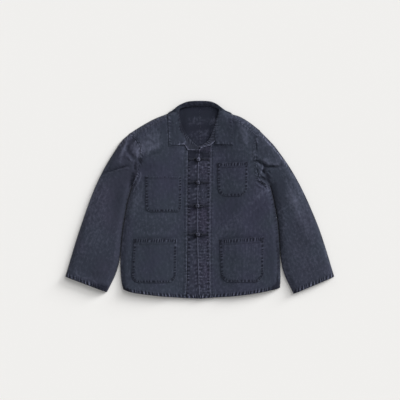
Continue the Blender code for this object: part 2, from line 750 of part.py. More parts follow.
def frog(number, row):
    """One closure: a strap sewn on each band and the knot at the centre front."""
    strap_solid("frog_strap_right_%d" % number, row.right_tip, row.right_end, row.knot_y, upper_height)
    strap_solid("frog_strap_left_%d" % number, row.left_tip, row.left_end, row.knot_y, left_band_height)
    spot = np.array([[row.knot_x, row.knot_y]], float)
    rest = left_band_height(spot)[0] + BAND_PLY + LAID_GAP
    bm = bmesh.new()
    bmesh.ops.create_icosphere(bm, subdivisions=2, radius=0.5)
    for vert in bm.verts:
        vert.co.x = (row.knot_x + vert.co.x * KNOT_WIDTH) * METRES
        vert.co.y = (row.knot_y + vert.co.y * KNOT_WIDTH) * METRES
        vert.co.z = (rest + (vert.co.z + 0.5) * KNOT_HEIGHT) * METRES
    add_object("frog_knot_%d" % number, bm, FROG_CLOTH)


def build_jacket():
    clear_scene()
    for side_name, side in (("right", right_side), ("left", left_side)):
        back_panel("back_" + side_name, side)
        front_panel("front_" + side_name, side, DENIM)
        sleeve(side_name, side)
    band("band_right", right_side, right_band_top(), UNDERLAP, upper_height)
    band("band_left", left_side, left_band_top(), 0.0, left_band_height)
    collar_stand()
    collar_fall()
    for row in POCKETS:
        pocket(row)
    for number, row in enumerate(FROGS, start=1):
        frog(number, row)


build_jacket()
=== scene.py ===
"""Looks of a denim work jacket laid flat on its back: cloth, seams, rubbed and faded dye with painted shade
and painted light, stitches and knots.

Left and right are the wearer's. X points to the wearer's left, Y from the hem to the collar, and Z
away from the surface under the jacket. Tables are in millimetres, and finished meshes in metres.
"""

import math
from collections import namedtuple
from functools import partial

import bpy
import numpy as np
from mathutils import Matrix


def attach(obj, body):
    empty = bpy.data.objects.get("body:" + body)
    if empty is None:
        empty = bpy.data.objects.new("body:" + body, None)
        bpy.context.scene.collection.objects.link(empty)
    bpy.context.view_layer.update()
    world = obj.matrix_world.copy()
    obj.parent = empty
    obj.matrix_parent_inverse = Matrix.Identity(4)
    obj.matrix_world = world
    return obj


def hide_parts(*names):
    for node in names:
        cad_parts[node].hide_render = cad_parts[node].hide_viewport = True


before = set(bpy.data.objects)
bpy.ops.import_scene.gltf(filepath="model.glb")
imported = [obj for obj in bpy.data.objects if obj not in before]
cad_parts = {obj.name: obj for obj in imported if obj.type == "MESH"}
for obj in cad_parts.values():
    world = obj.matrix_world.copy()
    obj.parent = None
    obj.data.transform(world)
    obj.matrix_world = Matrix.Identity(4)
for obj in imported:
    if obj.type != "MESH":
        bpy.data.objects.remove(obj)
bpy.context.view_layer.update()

METRES = 0.001
SIDES = ("right", "left")
LEAN = {"right": 1, "left": -1}    # the sign of what is mirrored, by side

# Cloth, as the frame has it
PLY = 1.2
BAND_PLY = 2.0
STAND_PLY = 1.8
COLLAR_PLY = 1.8
HEM_PLY = 2.4
HEM_DEPTH = 13.0
HEM_STEP = 2.0
SEAM_GAP = 0.3
LAID_GAP = 0.45
CROWN = 2.0
CROWN_REACH = 60.0
HEM_FADE = 30.0
COLLAR_REST = 0.1
COLLAR_LIFT = 2.3
LIFT_LINE = 298.0
LIFT_HALF_WIDTH = 122.0
LIFT_FADE = 50.0
UNDERLAP = 9.0
LAP_FLAT = 13.0
LAP_FADE = 26.0
SHARPEST_CORNER = 0.4

# Softness that the frame's plain solids leave out
LOFT = 12.0                # how far the upper layer puffs up beside a folded edge
LOFT_REACH = 26.0
LAID_RIM = 0.5             # width of the strip at the edge that lies right down
LOFT_AT_FRONT = 0.45       # share of it left at the front closure
FRONT_FLAT = 60.0          # how far from the closure that is so
FRONT_FADE = 110.0
LOFT_AT_NECK = 0.05        # share left round the neck
NECK_FLAT = 40.0
NECK_FADE = 60.0
RUMPLE = 0.6               # height of the cloth's broad unevenness, and of the fine
FINE_RUMPLE = 0.26
WANDER = 2.6               # how far folds and worn lines wander
FOLD_START = 16.0          # how far in from a folded edge the folds reach their full height
FOLD_AT_END = 0.25         # share of a fold's height left at its ends
STROKE_AT_END = 0.35       # and of a worn line's strength
PUCKER_RELIEF = 0.6        # how high and how worn the puckers are, over what their rows say
PUCKER_WEAR = 1.35
CRINKLE = 0.22             # height of the bands' fine crinkle
BACK_STEP_UP = 2.5         # how far the back's middle may lie above its thickness and still be flat
BACK_NECK_START = 330.0    # where the back goes up under the collar
POCKET_GAPE = 1.1          # how far a pocket's mouth stands off
GAPE_DEPTH = 24.0          # how far that reaches in from the mouth
GAPE_FADE = 26.0           # and how far from the sewn edge it is whole
POCKET_BULGE = 0.6
BULGE_FADE = 18.0
BULGE_UNEVEN = 0.4
POCKET_HEM = 0.3           # how much thicker a pocket is at its mouth, as a share
POCKET_HEM_FADE = 5.0
UNDER_STEP = 1.6           # how far the back reaches past the front, under the sleeve's edge
EDGE_ROUNDING = 3.5        # how far in from its edge a layer reaches its full thickness
NECK_BANK = 2.0            # how far the back rises inside the neck beside the collar's left roll
NECK_BANK_REACH = 9.0
NECK_BANK_ACROSS = (0, 78, 20, 14)      # start, end, rise and fall of the rise's window along X
NECK_BANK_UPWARD = (212, 350, 16, 8)    # and along Y
BESIDE_BODY = (-200, 56, 30, 24)        # the same for where sleeve and body lie side by side, along Y
BACK_TUCK = 7.0            # how far the back goes up under the stand
BACK_TUCK_FADE = 26.0
COLLAR_TUCK = 7.0          # how far the bands go under the stand
STAND_WIDTH = 22.0
STAND_ROLL = 2.0           # how far the stand rises towards its roll in front
STAND_BACK_RISE = 2.4
STAND_START = (2.5, 3.0)   # how far the stand's left end stands back from the centre front
FOLD_HALF_WIDTH = 2.0      # half the width of the turn where the fall goes under behind the neck
COLLAR_ROLL = 1.0
COLLAR_AIR = 1.7           # air under the fall beside its roll
COLLAR_AIR_REACH = 8.0     # how far from the roll that is so
COLLAR_AIR_FADE = 34.0
COLLAR_AIR_AT_TIP = -1.1
FALL_LOW_SIDE = 4.0        # below this height the fall is turned under
BEHIND_NECK = 318.0        # where the part behind the neck starts
BEHIND_NECK_FADE = 22.0
BACK_ROLL_DROP = 3.3       # how much lower the roll lies behind the neck
HEM_BELOW = 1.5            # how far the back's hem reaches below the front's at the middle

# How finely each stretch of edge is cut
SIDE_STEPS = 186
ARMHOLE_STEPS = 105
UNDERARM_STEPS = 31
SHOULDER_STEPS = 120
NECKLINE_STEPS = 66
SLEEVE_STEPS = 239
CAP_STEPS = 7
BAND_STEPS = 300
BAND_ACROSS_STEPS = 24
UNDERLAP_STEPS = 4
STAND_TIP_STEPS = {"right": 22, "left": 24}
STAND_SIDE_STEPS = 100
STAND_BACK_STEPS = 92
STAND_ACROSS_STEPS = 9
BACK_SHOULDER_STEPS = 56
BACK_SIDE_STEPS = 92
BACK_ARMHOLE_STEPS = 52
BACK_NECK_STEPS = 24
FALL_STATIONS = 230
FALL_ACROSS = 34
POCKET_STEP = 1.9
STITCH_LINE_STEP = 3.0
COARSE = 3                 # the hidden side of a layer is cut this many times more coarsely

Pair = namedtuple("Pair", "right_x right_y left_x left_y")
Point = namedtuple("Point", "x y")
Ring = namedtuple("Ring", "seam_x seam_y neck_x neck_y front")
Fall = namedtuple("Fall", "roll_x roll_y outer_x outer_y")


def table(columns, *rows):
    return [columns(*row) for row in rows]


# Edge lines in plan: seams upwards, the hem from the side to the front, and what runs across the
# body from the shoulder to the middle or from the band to the shoulder
SIDE_SEAM = table(
    Pair,
    (-286, -334, 298, -328), (-294, -295, 300, -288), (-297, -232, 299, -224), (-293, -161, 296, -157),
    (-283, -83, 290, -83), (-268, -1, 276, -5), (-252, 53, 263, 49),
)
ARMHOLE = table(
    Pair,
    (-252, 53, 263, 49), (-237, 84, 232, 62), (-228, 122, 214, 94), (-221, 159, 211, 135),
    (-224, 192, 205, 176), (-237, 218, 209, 215), (-254, 234, 215, 238),
)
SHOULDER_SEAM = table(
    Pair,
    (-254, 234, 215, 238), (-205, 263, 175, 270), (-160, 287, 143, 290), (-121, 307, 117, 302),
    (-92, 322, 88, 321),
)
SHOULDER_EDGE = table(
    Pair,
    (-264, 244, 224, 255), (-218, 273, 186, 285), (-169, 300, 150, 307), (-124, 317, 122, 316),
    (-95, 328, 93, 328),
)
NECKLINE = table(
    Pair,
    (-46, 186, 39, 202), (-69, 224, 66, 228), (-83, 257, 80, 257), (-91, 293, 87, 293), (-92, 322, 88, 321),
)
BACK_NECK = table(
    Pair,
    (-95, 328, 93, 328), (-80, 331, 79, 331), (-66, 338, 65, 338), (0, 344, 0, 344),
)
BAND_SEAM = table(
    Pair,
    (-52, -366, 37, -365), (-49, -280, 36, -280), (-47, -150, 34, -150), (-47, -20, 36, -20),
    (-46, 186, 39, 202),
)
HEM = table(
    Pair,
    (-286, -334, 298, -328), (-242, -347, 267, -336), (-147, -359, 207, -348), (-112, -362, 134, -358),
    (-52, -366, 37, -365),
)
SLEEVE_OUTER = table(
    Pair,
    (-501, -286, 500, -286), (-470, -180, 468, -180), (-441, -90, 437, -90), (-401.5, 21, 389, 21),
    (-360.5, 110, 341, 110), (-312.7, 189, 286, 189), (-289, 222, 257, 222), (-264, 244, 224, 255),
)
SLEEVE_INNER = table(
    Pair,
    (-346, -344, 348, -350), (-315, -280, 314.5, -280), (-299, -224, 301, -224),
    (-293.1, -161, 296.1, -157), (-283.1, -83, 290.1, -83), (-268.1, -1, 276.1, -5),
    (-252.1, 53, 263.1, 49),
)
CENTRE_FRONT = table(
    Point,
    (-3.5, -368), (-6.5, -280), (-10.5, -150), (-10.5, -20), (-7.5, 129), (-4, 180),
)
BAND_TOP = {
    "right": table(Point, (-46, 186), (-26, 184), (-4, 183.5)),
    "left": table(Point, (39, 202), (26, 199), (13, 196), (5, 191), (-4, 180)),
}
STAND_NECK = {
    "right": table(Point, (-4.5, 196), (-35, 224), (-51, 247), (-66, 274), (-75, 304), (-77, 320)),
    "left": table(Point, (-1.5, 196), (31, 222), (46.5, 254), (56, 280), (62, 304), (67, 320)),
}
FOLD_LINE = table(
    Point,
    (-200, 272), (-125, 320), (-102, 333), (-85, 347), (-68, 357), (-42, 366), (0, 368.3), (38, 366),
    (61, 357), (75, 347), (94, 333), (122, 320), (200, 272),
)

# The stand behind the neck; front is 1 where it lies on the fronts and 0 where it lies on the back.
STAND_BACK = table(
    Ring,
    (-89, 338, -77, 330, 1), (-81, 347, -74, 340, 0.7), (-66, 353, -62, 345, 0), (-36, 360, -34, 346.5, 0),
    (0, 362, 0, 347, 0), (34, 360, 32, 346.5, 0), (61, 353, 58, 345, 0), (73, 345.5, 68, 340, 0.7),
    (84, 338, 70, 330, 1),
)

# The fall from its right tip round the neck to its left tip
FALL = table(
    Fall,
    (-48, 206, -116, 199), (-59, 237, -118, 237), (-69, 267, -118, 267), (-77, 296, -119, 296),
    (-79.5, 318, -120, 322), (-79, 333, -116, 350), (-73, 338, -104, 372), (-60, 342.5, -80, 391),
    (-35, 346.5, -42, 402), (0, 347.5, 0, 404), (32, 346.5, 40, 402), (54, 342.5, 74, 391),
    (66, 338, 98, 373), (72, 333, 112, 352), (69, 318, 118, 323), (63.5, 296, 120, 298),
    (57, 267, 123, 271), (54.5, 237, 124, 240), (58, 207, 124, 202),
)

# Soft folds in the upper layer: a ridge, or a trough where the height is below zero. left_reach and
# right_reach are its half widths on either side of the way from its start to its end.
Fold = namedtuple("Fold", "height left_reach right_reach points")

FOLDS = table(
    Fold,
    # right sleeve head: the cap stands out in a ring round the armhole
    (2.9, 7, 9, ((-257, 235), (-271, 218), (-279, 196), (-290, 174), (-307, 157))),
    (-3, 6, 7, ((-236, 232), (-253, 219), (-264, 200), (-268, 184), (-260, 165), (-247, 151))),
    (-1.6, 4, 5, ((-258, 188), (-256, 174), (-246, 158))),
    (1.9, 6, 6, ((-274, 172), (-268, 157), (-256, 145), (-242, 141))),
    (1.5, 4, 4, ((-234, 190), (-235, 168), (-236, 148))),
    (1.1, 5, 6, ((-212, 208), (-217, 180), (-222, 156))),
    (-1.3, 4, 4, ((-222, 198), (-226, 172), (-229, 152))),
    (-3.2, 7, 7, ((-232, 148), (-224, 141), (-214, 138))),
    (-1.4, 4, 5, ((-240, 142), (-240, 122), (-240, 100))),
    (1.6, 4, 4, ((-232, 118), (-229, 104), (-240, 84), (-256, 52))),
    (-2.2, 8, 6, ((-242, 98), (-252, 78), (-262, 52), (-270, 20))),
    # right sleeve: the long crease from the underarm, and what hangs from it
    (-3.2, 8, 4, ((-362, 98), (-336, 106), (-314, 113), (-292, 118), (-262, 121))),
    (1.5, 5, 5, ((-332, 97), (-306, 108), (-280, 113), (-254, 116))),
    (1.6, 18, 12, ((-352, 130), (-316, 138), (-278, 136))),
    (1.6, 30, 34, ((-322, 60), (-372, -60), (-410, -180), (-430, -270))),
    (-1.2, 22, 18, ((-300, 40), (-320, -60), (-340, -170))),
    (0.9, 12, 12, ((-330, -250), (-378, -268), (-430, -262))),
    (0.8, 10, 12, ((-455, -190), (-420, -205), (-385, -200))),
    # left sleeve head and the bunched underarm
    (2.8, 12, 6, ((216, 156), (231, 148), (253, 134), (279, 130), (300, 139))),
    (-3.2, 5, 7, ((184, 137), (212, 144), (222, 136), (233, 129), (258, 121), (284, 121), (304, 128))),
    (-1.4, 4, 4, ((300, 148), (302, 134), (300, 118))), (1.6, 4, 5, ((210, 236), (211, 222), (211, 204))),
    (-1.6, 4, 4, ((209, 212), (210, 196), (209, 176))), (1.4, 5, 6, ((186, 172), (198, 168), (210, 164))),
    (-2.4, 4, 4, ((222, 110), (236, 104), (240, 98), (252, 104), (262, 92))),
    (1.8, 4, 4, ((226, 98), (234, 90), (240, 80))), (1.8, 3.5, 3.5, ((214, 78), (230, 66), (248, 50))),
    (-2, 3.5, 3.5, ((212, 68), (229, 57), (246, 42))), (1.2, 3.5, 3.5, ((210, 59), (226, 48), (244, 34))),
    (-1.6, 4, 4, ((206, 122), (209, 112), (216, 88))),
    # left sleeve: hollow beside the body, a long crest further out
    (-1.2, 10, 18, ((272, 50), (280, 0), (292, -60), (298, -110))),
    (1.9, 28, 22, ((322, 70), (346, 0), (376, -90), (404, -190))),
    (1.4, 8, 9, ((294, -40), (328, -20), (362, 8))), (-1.4, 8, 8, ((304, -60), (338, -44), (372, -18))),
    (1, 12, 12, ((352, -262), (396, -250), (440, -236))),
    (-0.8, 10, 10, ((345, -190), (384, -170), (420, -172))),
    # fronts
    (1.8, 7, 8, ((-218, 166), (-190, 182), (-164, 196), (-140, 212))),
    (-1.8, 7, 6, ((-210, 147), (-180, 162), (-146, 184))),
    (1, 6, 6, ((-196, 236), (-176, 222), (-158, 206))),
    (0.9, 6, 5, ((-205, 250), (-196, 222), (-198, 196))),
    (0.8, 5, 5, ((-180, 262), (-172, 238), (-174, 214))),
    (-0.8, 5, 5, ((-160, 268), (-152, 244), (-154, 220))),
    (1.2, 9, 10, ((258, 28), (206, -22), (150, -70), (96, -118))),
    (-1, 9, 9, ((250, -6), (196, -54), (140, -96))),
    (1, 10, 9, ((250, 62), (200, 20), (150, -12), (112, -40))),
    (1, 9, 12, ((170, 262), (162, 232), (166, 196))), (-0.9, 9, 9, ((140, 258), (140, 226), (148, 196))),
    (-1, 7, 7, ((118, 300), (126, 270), (124, 240))),
    (0.8, 14, 14, ((-270, -60), (-210, -82), (-150, -86), (-92, -78))),
    (-0.6, 12, 12, ((-262, -104), (-200, -118), (-120, -116))),
    (0.7, 12, 9, ((110, -330), (160, -322), (220, -318))),
)

# Faded and dark areas of the dye, and areas painted paler or darker as painted light and painted shade:
# where, how far they reach along and across, how they are turned from X, and how much paler (or darker,
# below zero) the cloth is there.
Fade = namedtuple("Fade", "x y along across turn amount")

FADES_AND_PAINTED_SHADING = table(
    Fade,
    (-188, 202, 62, 34, 55, 0.2), (-236, 192, 26, 18, 90, 0.16), (-307, 0, 70, 30, 90, -0.12),
    (-380, -250, 50, 50, 0, -0.12), (148, -30, 90, 50, 0, -0.12), (-134, 30, 50, 45, 0, -0.1),
    # (0, 316) is painted shade inside the neck
    (18, 0, 14, 120, 0, -0.06), (0, 316, 46, 9, 0, -0.25), (-126, 262, 40, 16, 80, -0.2),
    # (-223, 178), (-170, 197), (-285, 183) and (-256, 238) are painted highlight on the crests of the folds
    # round the right shoulder and sleeve head
    (-216, 186, 34, 14, 60, 0.1), (-223, 178, 24, 11, 92, 0.22), (-170, 197, 26, 9, 28, 0.16),
    (-285, 183, 44, 8, 72, 0.22), (-256, 238, 26, 8, 34, 0.3), (-368, -50, 150, 44, 70, 0.06),
    (-300, 20, 110, 26, 74, -0.2), (-345, 130, 60, 40, 40, -0.12), (165, 240, 42, 20, 96, 0.18),
    # (394, -96) and (350, -4) are painted highlight on the left sleeve's crest, and (301, 27) and (290, 50)
    # painted shade on its slope beside the body
    (199, 162, 14, 9, 90, 0.22), (394, -96, 60, 16, 116, 0.1), (400, -215, 56, 52, 0, 0.05),
    (301, 27, 18, 44, 0, -0.13), (262, -224, 18, 72, 0, -0.15), (208, -38, 40, 60, 0, -0.05),
    (-149, 129, 52, 36, 0, -0.13), (-238, -2, 24, 36, 0, 0.14), (-100, 278, 20, 46, 0, 0.14),
    (290, 50, 74, 20, 105, -0.12), (252, 142, 40, 16, 10, 0.1), (200, 2, 100, 18, 40, 0.11),
    # From (-28, 160) on, the dark patches round the frogs are painted shade
    (120, -84, 90, 16, 44, 0.09), (232, 66, 50, 14, 40, 0.06), (-28, 160, 14, 22, 0, -1.3),
    (14, 166, 18, 16, 0, -1.1), (-26, 68, 15, 11, 0, -0.7), (-26, -19, 14, 11, 0, -0.7),
    (-26, -127, 15, 13, 0, -0.8), (14, -26, 14, 10, 0, -0.8), (12, -132, 15, 12, 0, -1.1),
    # (-222, 142) is painted shade in the pit under the right sleeve's head
    (14, 60, 15, 9, 0, -0.8), (-206, 120, 36, 16, 20, -0.16), (-222, 142, 15, 11, 0, -0.6),
    # Round the neck: (-58, 300), (62, 322), (0, 268) and (-8, 334) are painted shade inside the neck beside
    # the collar's rolls and under the stand, and (55, 284) is painted light that lifts the shadow beside
    # the left roll
    (350, -4, 62, 22, 112, 0.26), (-168, -228, 70, 70, 0, -0.12), (-58, 300, 10, 46, 0, -0.5),
    (55, 284, 12, 30, 0, 0.3), (62, 322, 7, 16, 0, -0.25), (-18, 294, 26, 9, 0, 0.1),
    (0, 268, 50, 8, 10, -0.35), (-8, 334, 44, 7, 0, -0.35), (12, 250, 18, 12, 0, 0.08),
    (120, 240, 22, 60, 0, -0.1), (-98, 250, 22, 60, 0, -0.15),
)

# Narrow pale rubbed lines and dark lines, under the names of the pieces that they are drawn on; many are
# painted shade in folds and gaps, and some painted highlight on ridges and painted light on slopes
Stroke = namedtuple("Stroke", "amount reach points")

STROKES = {
    "front": table(
        Stroke,
        (0.55, 2.4, ((-236, 118), (-231, 100), (-246, 66), (-262, 30))),
        (0.4, 2.4, ((-220, 116), (-219, 90), (-234, 56), (-250, 20))),
        (0.24, 3.5, ((-229, 192), (-236, 150))), (0.16, 4, ((-213, 208), (-222, 156))),
        (0.5, 2.2, ((217, 86), (234, 62), (258, 38))), (0.4, 2.2, ((215, 76), (230, 65), (247, 50))),
        (-0.6, 2.4, ((213, 67), (230, 56), (246, 42))), (-0.6, 2.4, ((207, 121), (209, 114))),
        # These darker lines under the collar's leaves are painted shadow, and the next three, above the
        # pockets' mouths, painted shade
        (-0.5, 4, ((-108, 194), (-84, 192))), (-0.5, 5, ((84, 197), (110, 197))),
        (-0.35, 5, ((-246, -139), (-86, -139))), (-0.35, 5, ((72, -143), (237, -132))),
        (-0.25, 4, ((64, 142), (177, 145))),
        # The pale line along the right side seam is painted light against the shade of the slope there, and
        # the dark line after it, along the left side seam, is painted shade where body and sleeve meet
        (0.42, 6.5, ((-291, -330), (-296, -295), (-297, -232), (-293, -161), (-283, -83), (-268, -5),
         (-256, 40))),
        (-0.7, 7, ((268, 20), (279, -50), (287, -120), (292, -190), (296, -260))),
        # The pale lines on the left front's folds are painted highlight, and the dark line after them
        # painted shade in a fold
        (0.13, 7, ((128, -92), (180, -52), (232, -10))), (0.1, 6, ((206, 4), (238, 26), (262, 40))),
        (-0.25, 6, ((-222, 150), (-184, 166), (-140, 194))),
        # Painted light beside the right leaf's outer edge, against its shadow
        (0.3, 3, ((-122, 290), (-121, 250), (-120, 208))),
        # Painted shade in the gap between the left front and sleeve
        (-1.1, 3.2, ((285, -150), (288, -200), (289, -260), (290, -330))),
        (-3.2, 8, ((262, -330), (284, -324), (300, -306))),
        (-2.2, 6, ((-292, -324), (-280, -332), (-260, -340))),
    ),
    "front sleeve": table(
        Stroke,
        # All these lines are painted: the dark ones are shade in the folds, pits and the slit between
        # sleeve and front round the armholes, the pale ones highlight on the folds' ridges
        (-1.1, 2.8, ((-240, 142), (-241, 122), (-238, 108))), (0.5, 2.2, ((211, 226), (212, 211))),
        (-0.6, 3, ((210, 208), (210, 178))),
        (-0.9, 3, ((186, 137), (212, 146), (222, 137), (233, 129), (258, 121), (284, 121), (301, 127))),
        (-1.6, 5, ((238, 128), (243, 118), (240, 104), (250, 92), (262, 76))),
        (-1, 3, ((244, 86), (254, 74), (264, 64))),
        (-1.5, 3.6, ((226, 86), (238, 77), (250, 71), (262, 62))),
        (0.6, 2.2, ((212, 137), (230, 129), (233, 114), (228, 98), (217, 86))),
        (0.4, 2.4, ((230, 94), (238, 81))), (-0.6, 3, ((214, 92), (218, 80))),
    ),
    "sleeve": table(
        Stroke,
        # The dark lines in the right sleeve's crease, round its head and along the slits and seams where
        # sleeve and body meet are painted shade; the pale ones on the ridges of the cap and of the left
        # sleeve's folds are painted highlight; those on the slope beside the body and along the right
        # sleeve's outer edge are painted light against that slope's shade
        (-0.9, 4.5, ((-242, 96), (-254, 70), (-264, 40))),
        (-1, 3.8, ((-362, 98), (-336, 107), (-314, 114), (-292, 119), (-262, 122))),
        (-0.5, 4.5, ((-236, 230), (-253, 219), (-264, 200), (-268, 184), (-260, 165), (-247, 151))),
        (0.22, 4, ((-258, 232), (-272, 216), (-280, 196), (-291, 174), (-304, 158))),
        (0.14, 4, ((-272, 166), (-260, 148), (-244, 141))),
        (-0.3, 5.5, ((258, 222), (287, 189), (342, 110), (390, 21), (438, -90), (469, -180))),
        (0.14, 6, ((326, 116), (362, 52), (409, -20))),
        (0.24, 4, ((231, 147), (253, 134), (279, 130), (296, 138))), (-0.5, 3, ((301, 142), (301, 122))),
        (-0.9, 6, ((-244, 106), (-252, 86), (-258, 66))),
        (-0.5, 3, ((264, 58), (268, 29), (275, -1), (283, -57), (292, -110))),
        (0.14, 9, ((284, 40), (292, 0), (300, -60), (308, -110), (312, -170))),
        (-0.45, 4, ((-262, 40), (-276, -20), (-286, -80), (-292, -130))),
        (-0.4, 7, ((-284, -90), (-294, -161), (-300, -224), (-316, -280))),
        (0.28, 12, ((-330, 158), (-376, 70), (-401, 10), (-428, -70))),
        (0.45, 9, ((346, -346), (318, -285), (305, -232), (301, -190))),
        (0.12, 7, ((-500, -280), (-470, -180), (-442, -90), (-403, 21))),
        (-0.2, 8, ((-346, -344), (-318, -280), (-306, -240))),
        (0.18, 4, ((292, -44), (328, -22), (364, 6))),
        (-1.6, 11, ((-392, -318), (-356, -328), (-340, -334))),
        (0.22, 3, ((-470, -270), (-420, -292), (-372, -310))),
    ),
    "sleeve back": table(
        Stroke,
        (-0.6, 3, ((-270, 238), (-264, 244), (-218, 273), (-169, 300), (-124, 317))),
        (-0.5, 3, ((232, 248), (224, 255), (186, 285), (150, 307), (122, 316))),
        (-2.6, 2.2, ((180, 289), (226, 256), (258, 222), (288, 189), (342, 110), (390, 21), (438, -90),
         (469, -180), (500, -284))),
        (0.8, 1.9, ((217, 243), (238, 228), (257, 209), (287, 176), (313, 140), (322, 126))),
    ),
    "fall": table(
        Stroke,
        (1, 2.4, ((-50, 207), (-66, 206), (-88, 199))), (0.9, 2.4, ((60, 208), (88, 204))),
        (0.4, 2.4, ((-115, 300), (-116, 260), (-115, 212))),
        (-0.4, 2.6, ((117, 318), (121, 296), (123, 262), (123, 206))), (0.5, 3, ((-112, 292), (-112, 286))),
        # The dark line along the fall's top behind the neck and the one along its right roll are painted
        # shade
        (-1.1, 4.5, ((-90, 338), (-66, 352), (-38, 361), (0, 363.5), (36, 361), (62, 352), (86, 338))),
        (-1.7, 4.5, ((-58, 234), (-69, 267), (-77, 296), (-79, 318), (-79, 334))),
        (-1.2, 5.5, ((-70, 342), (-40, 351), (0, 354), (36, 351), (60, 342))),
    ),
    "band": table(
        Stroke,
        # Painted shadow under the stand's lower edge
        (-0.5, 7, ((-44, 180), (-24, 178), (-8, 178))),
        (-0.5, 7, ((34, 196), (16, 190), (6, 184), (0, 172))),
    ),
    "stand": table(
        Stroke,
        # Painted shade on the stand's right neck edge, under the roll
        (-2, 4.5, ((-47, 241), (-66, 274), (-75, 304), (-77, 322))),
    ),
    "front band": table(
        Stroke,
        # Painted shadow under the stand's lower edge
        (-1.6, 3.2, ((-53, 206), (-49, 196), (-45, 187), (-34, 181), (-16, 180))),
    ),
    "pocket": table(
        Stroke,
        # The dark lines along the pockets' mouths are painted shade
        (-0.9, 2.2, ((-246, -144), (-166, -143.5), (-86, -144))),
        (-0.9, 2.2, ((71, -147.5), (154, -142), (238, -136.5))), (-0.5, 2.2, ((-204, 88), (-67, 88))),
        (-0.7, 2.2, ((63, 137.5), (178, 140.5))), (-1.2, 3.5, ((-243, -158), (-237, -152))),
        (-1.1, 2.6, ((-110, -160), (-98, -148))), (-1.2, 3.2, ((-92, -188), (-90, -196))),
        (-1, 2.6, ((-246, -262), (-256, -280), (-242, -296))),
        (-1, 2.6, ((-96, -270), (-94, -284), (-110, -298))), (-1, 2.6, ((74, -158), (84, -150))),
        (-1.1, 2.6, ((222, -146), (234, -154))), (-1, 2.8, ((82, -262), (80, -276), (96, -294))),
        (-1, 2.8, ((234, -264), (232, -280), (214, -296))), (-1, 2.6, ((66, 130), (76, 136))),
        (-1, 2.6, ((164, 136), (175, 130))),
    ),
}

Pocket = namedtuple("Pocket", "name side top_right_x top_right_y top_left_x top_left_y "
                              "bottom_right_x bottom_left_x bottom_y corner hem_depth hem_puckers")

POCKETS = table(
    Pocket,
    ("pocket_chest_right", "right", -204, 88, -67, 88, -202, -69, -46, 20, 12, 0.25),
    ("pocket_chest_left", "left", 63, 137, 178, 140, 65, 177, 12, 34, 20, 1.0),
    ("pocket_hip_right", "right", -246, -144, -86, -144, -254, -88, -309, 30, 22, 1.0),
    ("pocket_hip_left", "left", 71, -148, 238, -137, 77, 236, -307, 34, 22, 1.0),
)

# wear is how pale the knot is
Frog = namedtuple("Frog", "knot_x knot_y right_end left_end wear")

FROGS = table(
    Frog,
    (-6, 150, -42, 32, 0.32), (-7, 64, -42, 31, 0.1), (-9, -23, -43, 30, 0.1), (-8, -129, -43, 30, 0.1),
)
KNOT_RADIUS = 6.6
CORD_RADIUS = 1.9
CORD_FLATNESS = 0.6
CORD_HALF_PITCH = CORD_RADIUS * 1.02
CORD_SINK = 0.3            # how far a cord sinks into the cloth
CORD_SIDES = 10
KNOT_SIDES = 8
KNOT_BIGHTS = 5            # loops that the knot shows at each end
KNOT_LEADS = 3             # and turns of its cord
KNOT_SQUASH = 0.78
KNOT_WEAVE = 0.13          # how far the cord goes out and in, as a share of the knot's radius
KNOT_RISE = 0.82           # height of the knot's middle over what it rests on, in its radii
# the knot's core is dark as painted shade inside the knot
KNOT_CORE_PAINTED_SHADE = -1.2
STRAP_WEAR = -0.8

# Sewn edges: a row of puckers beside a seam, with pale ridges and dark hollows.
# inset is how far the row lies in from the line, reach its half width, slant how much it leans.
Row = namedtuple("Row", "line inset reach pitch height slant pale dark seed")

# Slow waves that make the puckers of a row uneven: how strong each is, how many puckers it spans,
# and how far the row's seed shifts it
PITCH_WAVES = ((1.5, 5.7, 1.0), (0.9, 2.9, 2.1))
STRENGTH_WAVES = ((0.28, 8.3, 3.3), (0.24, 3.7, 1.7))
MEAN_STRENGTH = 0.76
RIDGE_SHARPNESS = 0.8
PALE_FROM = 0.5            # share of a pucker's height above which it is worn pale
PALE_FADE = 0.35
DARK_BELOW = 0.55          # and below which it stays dark
DARK_FADE = 0.4

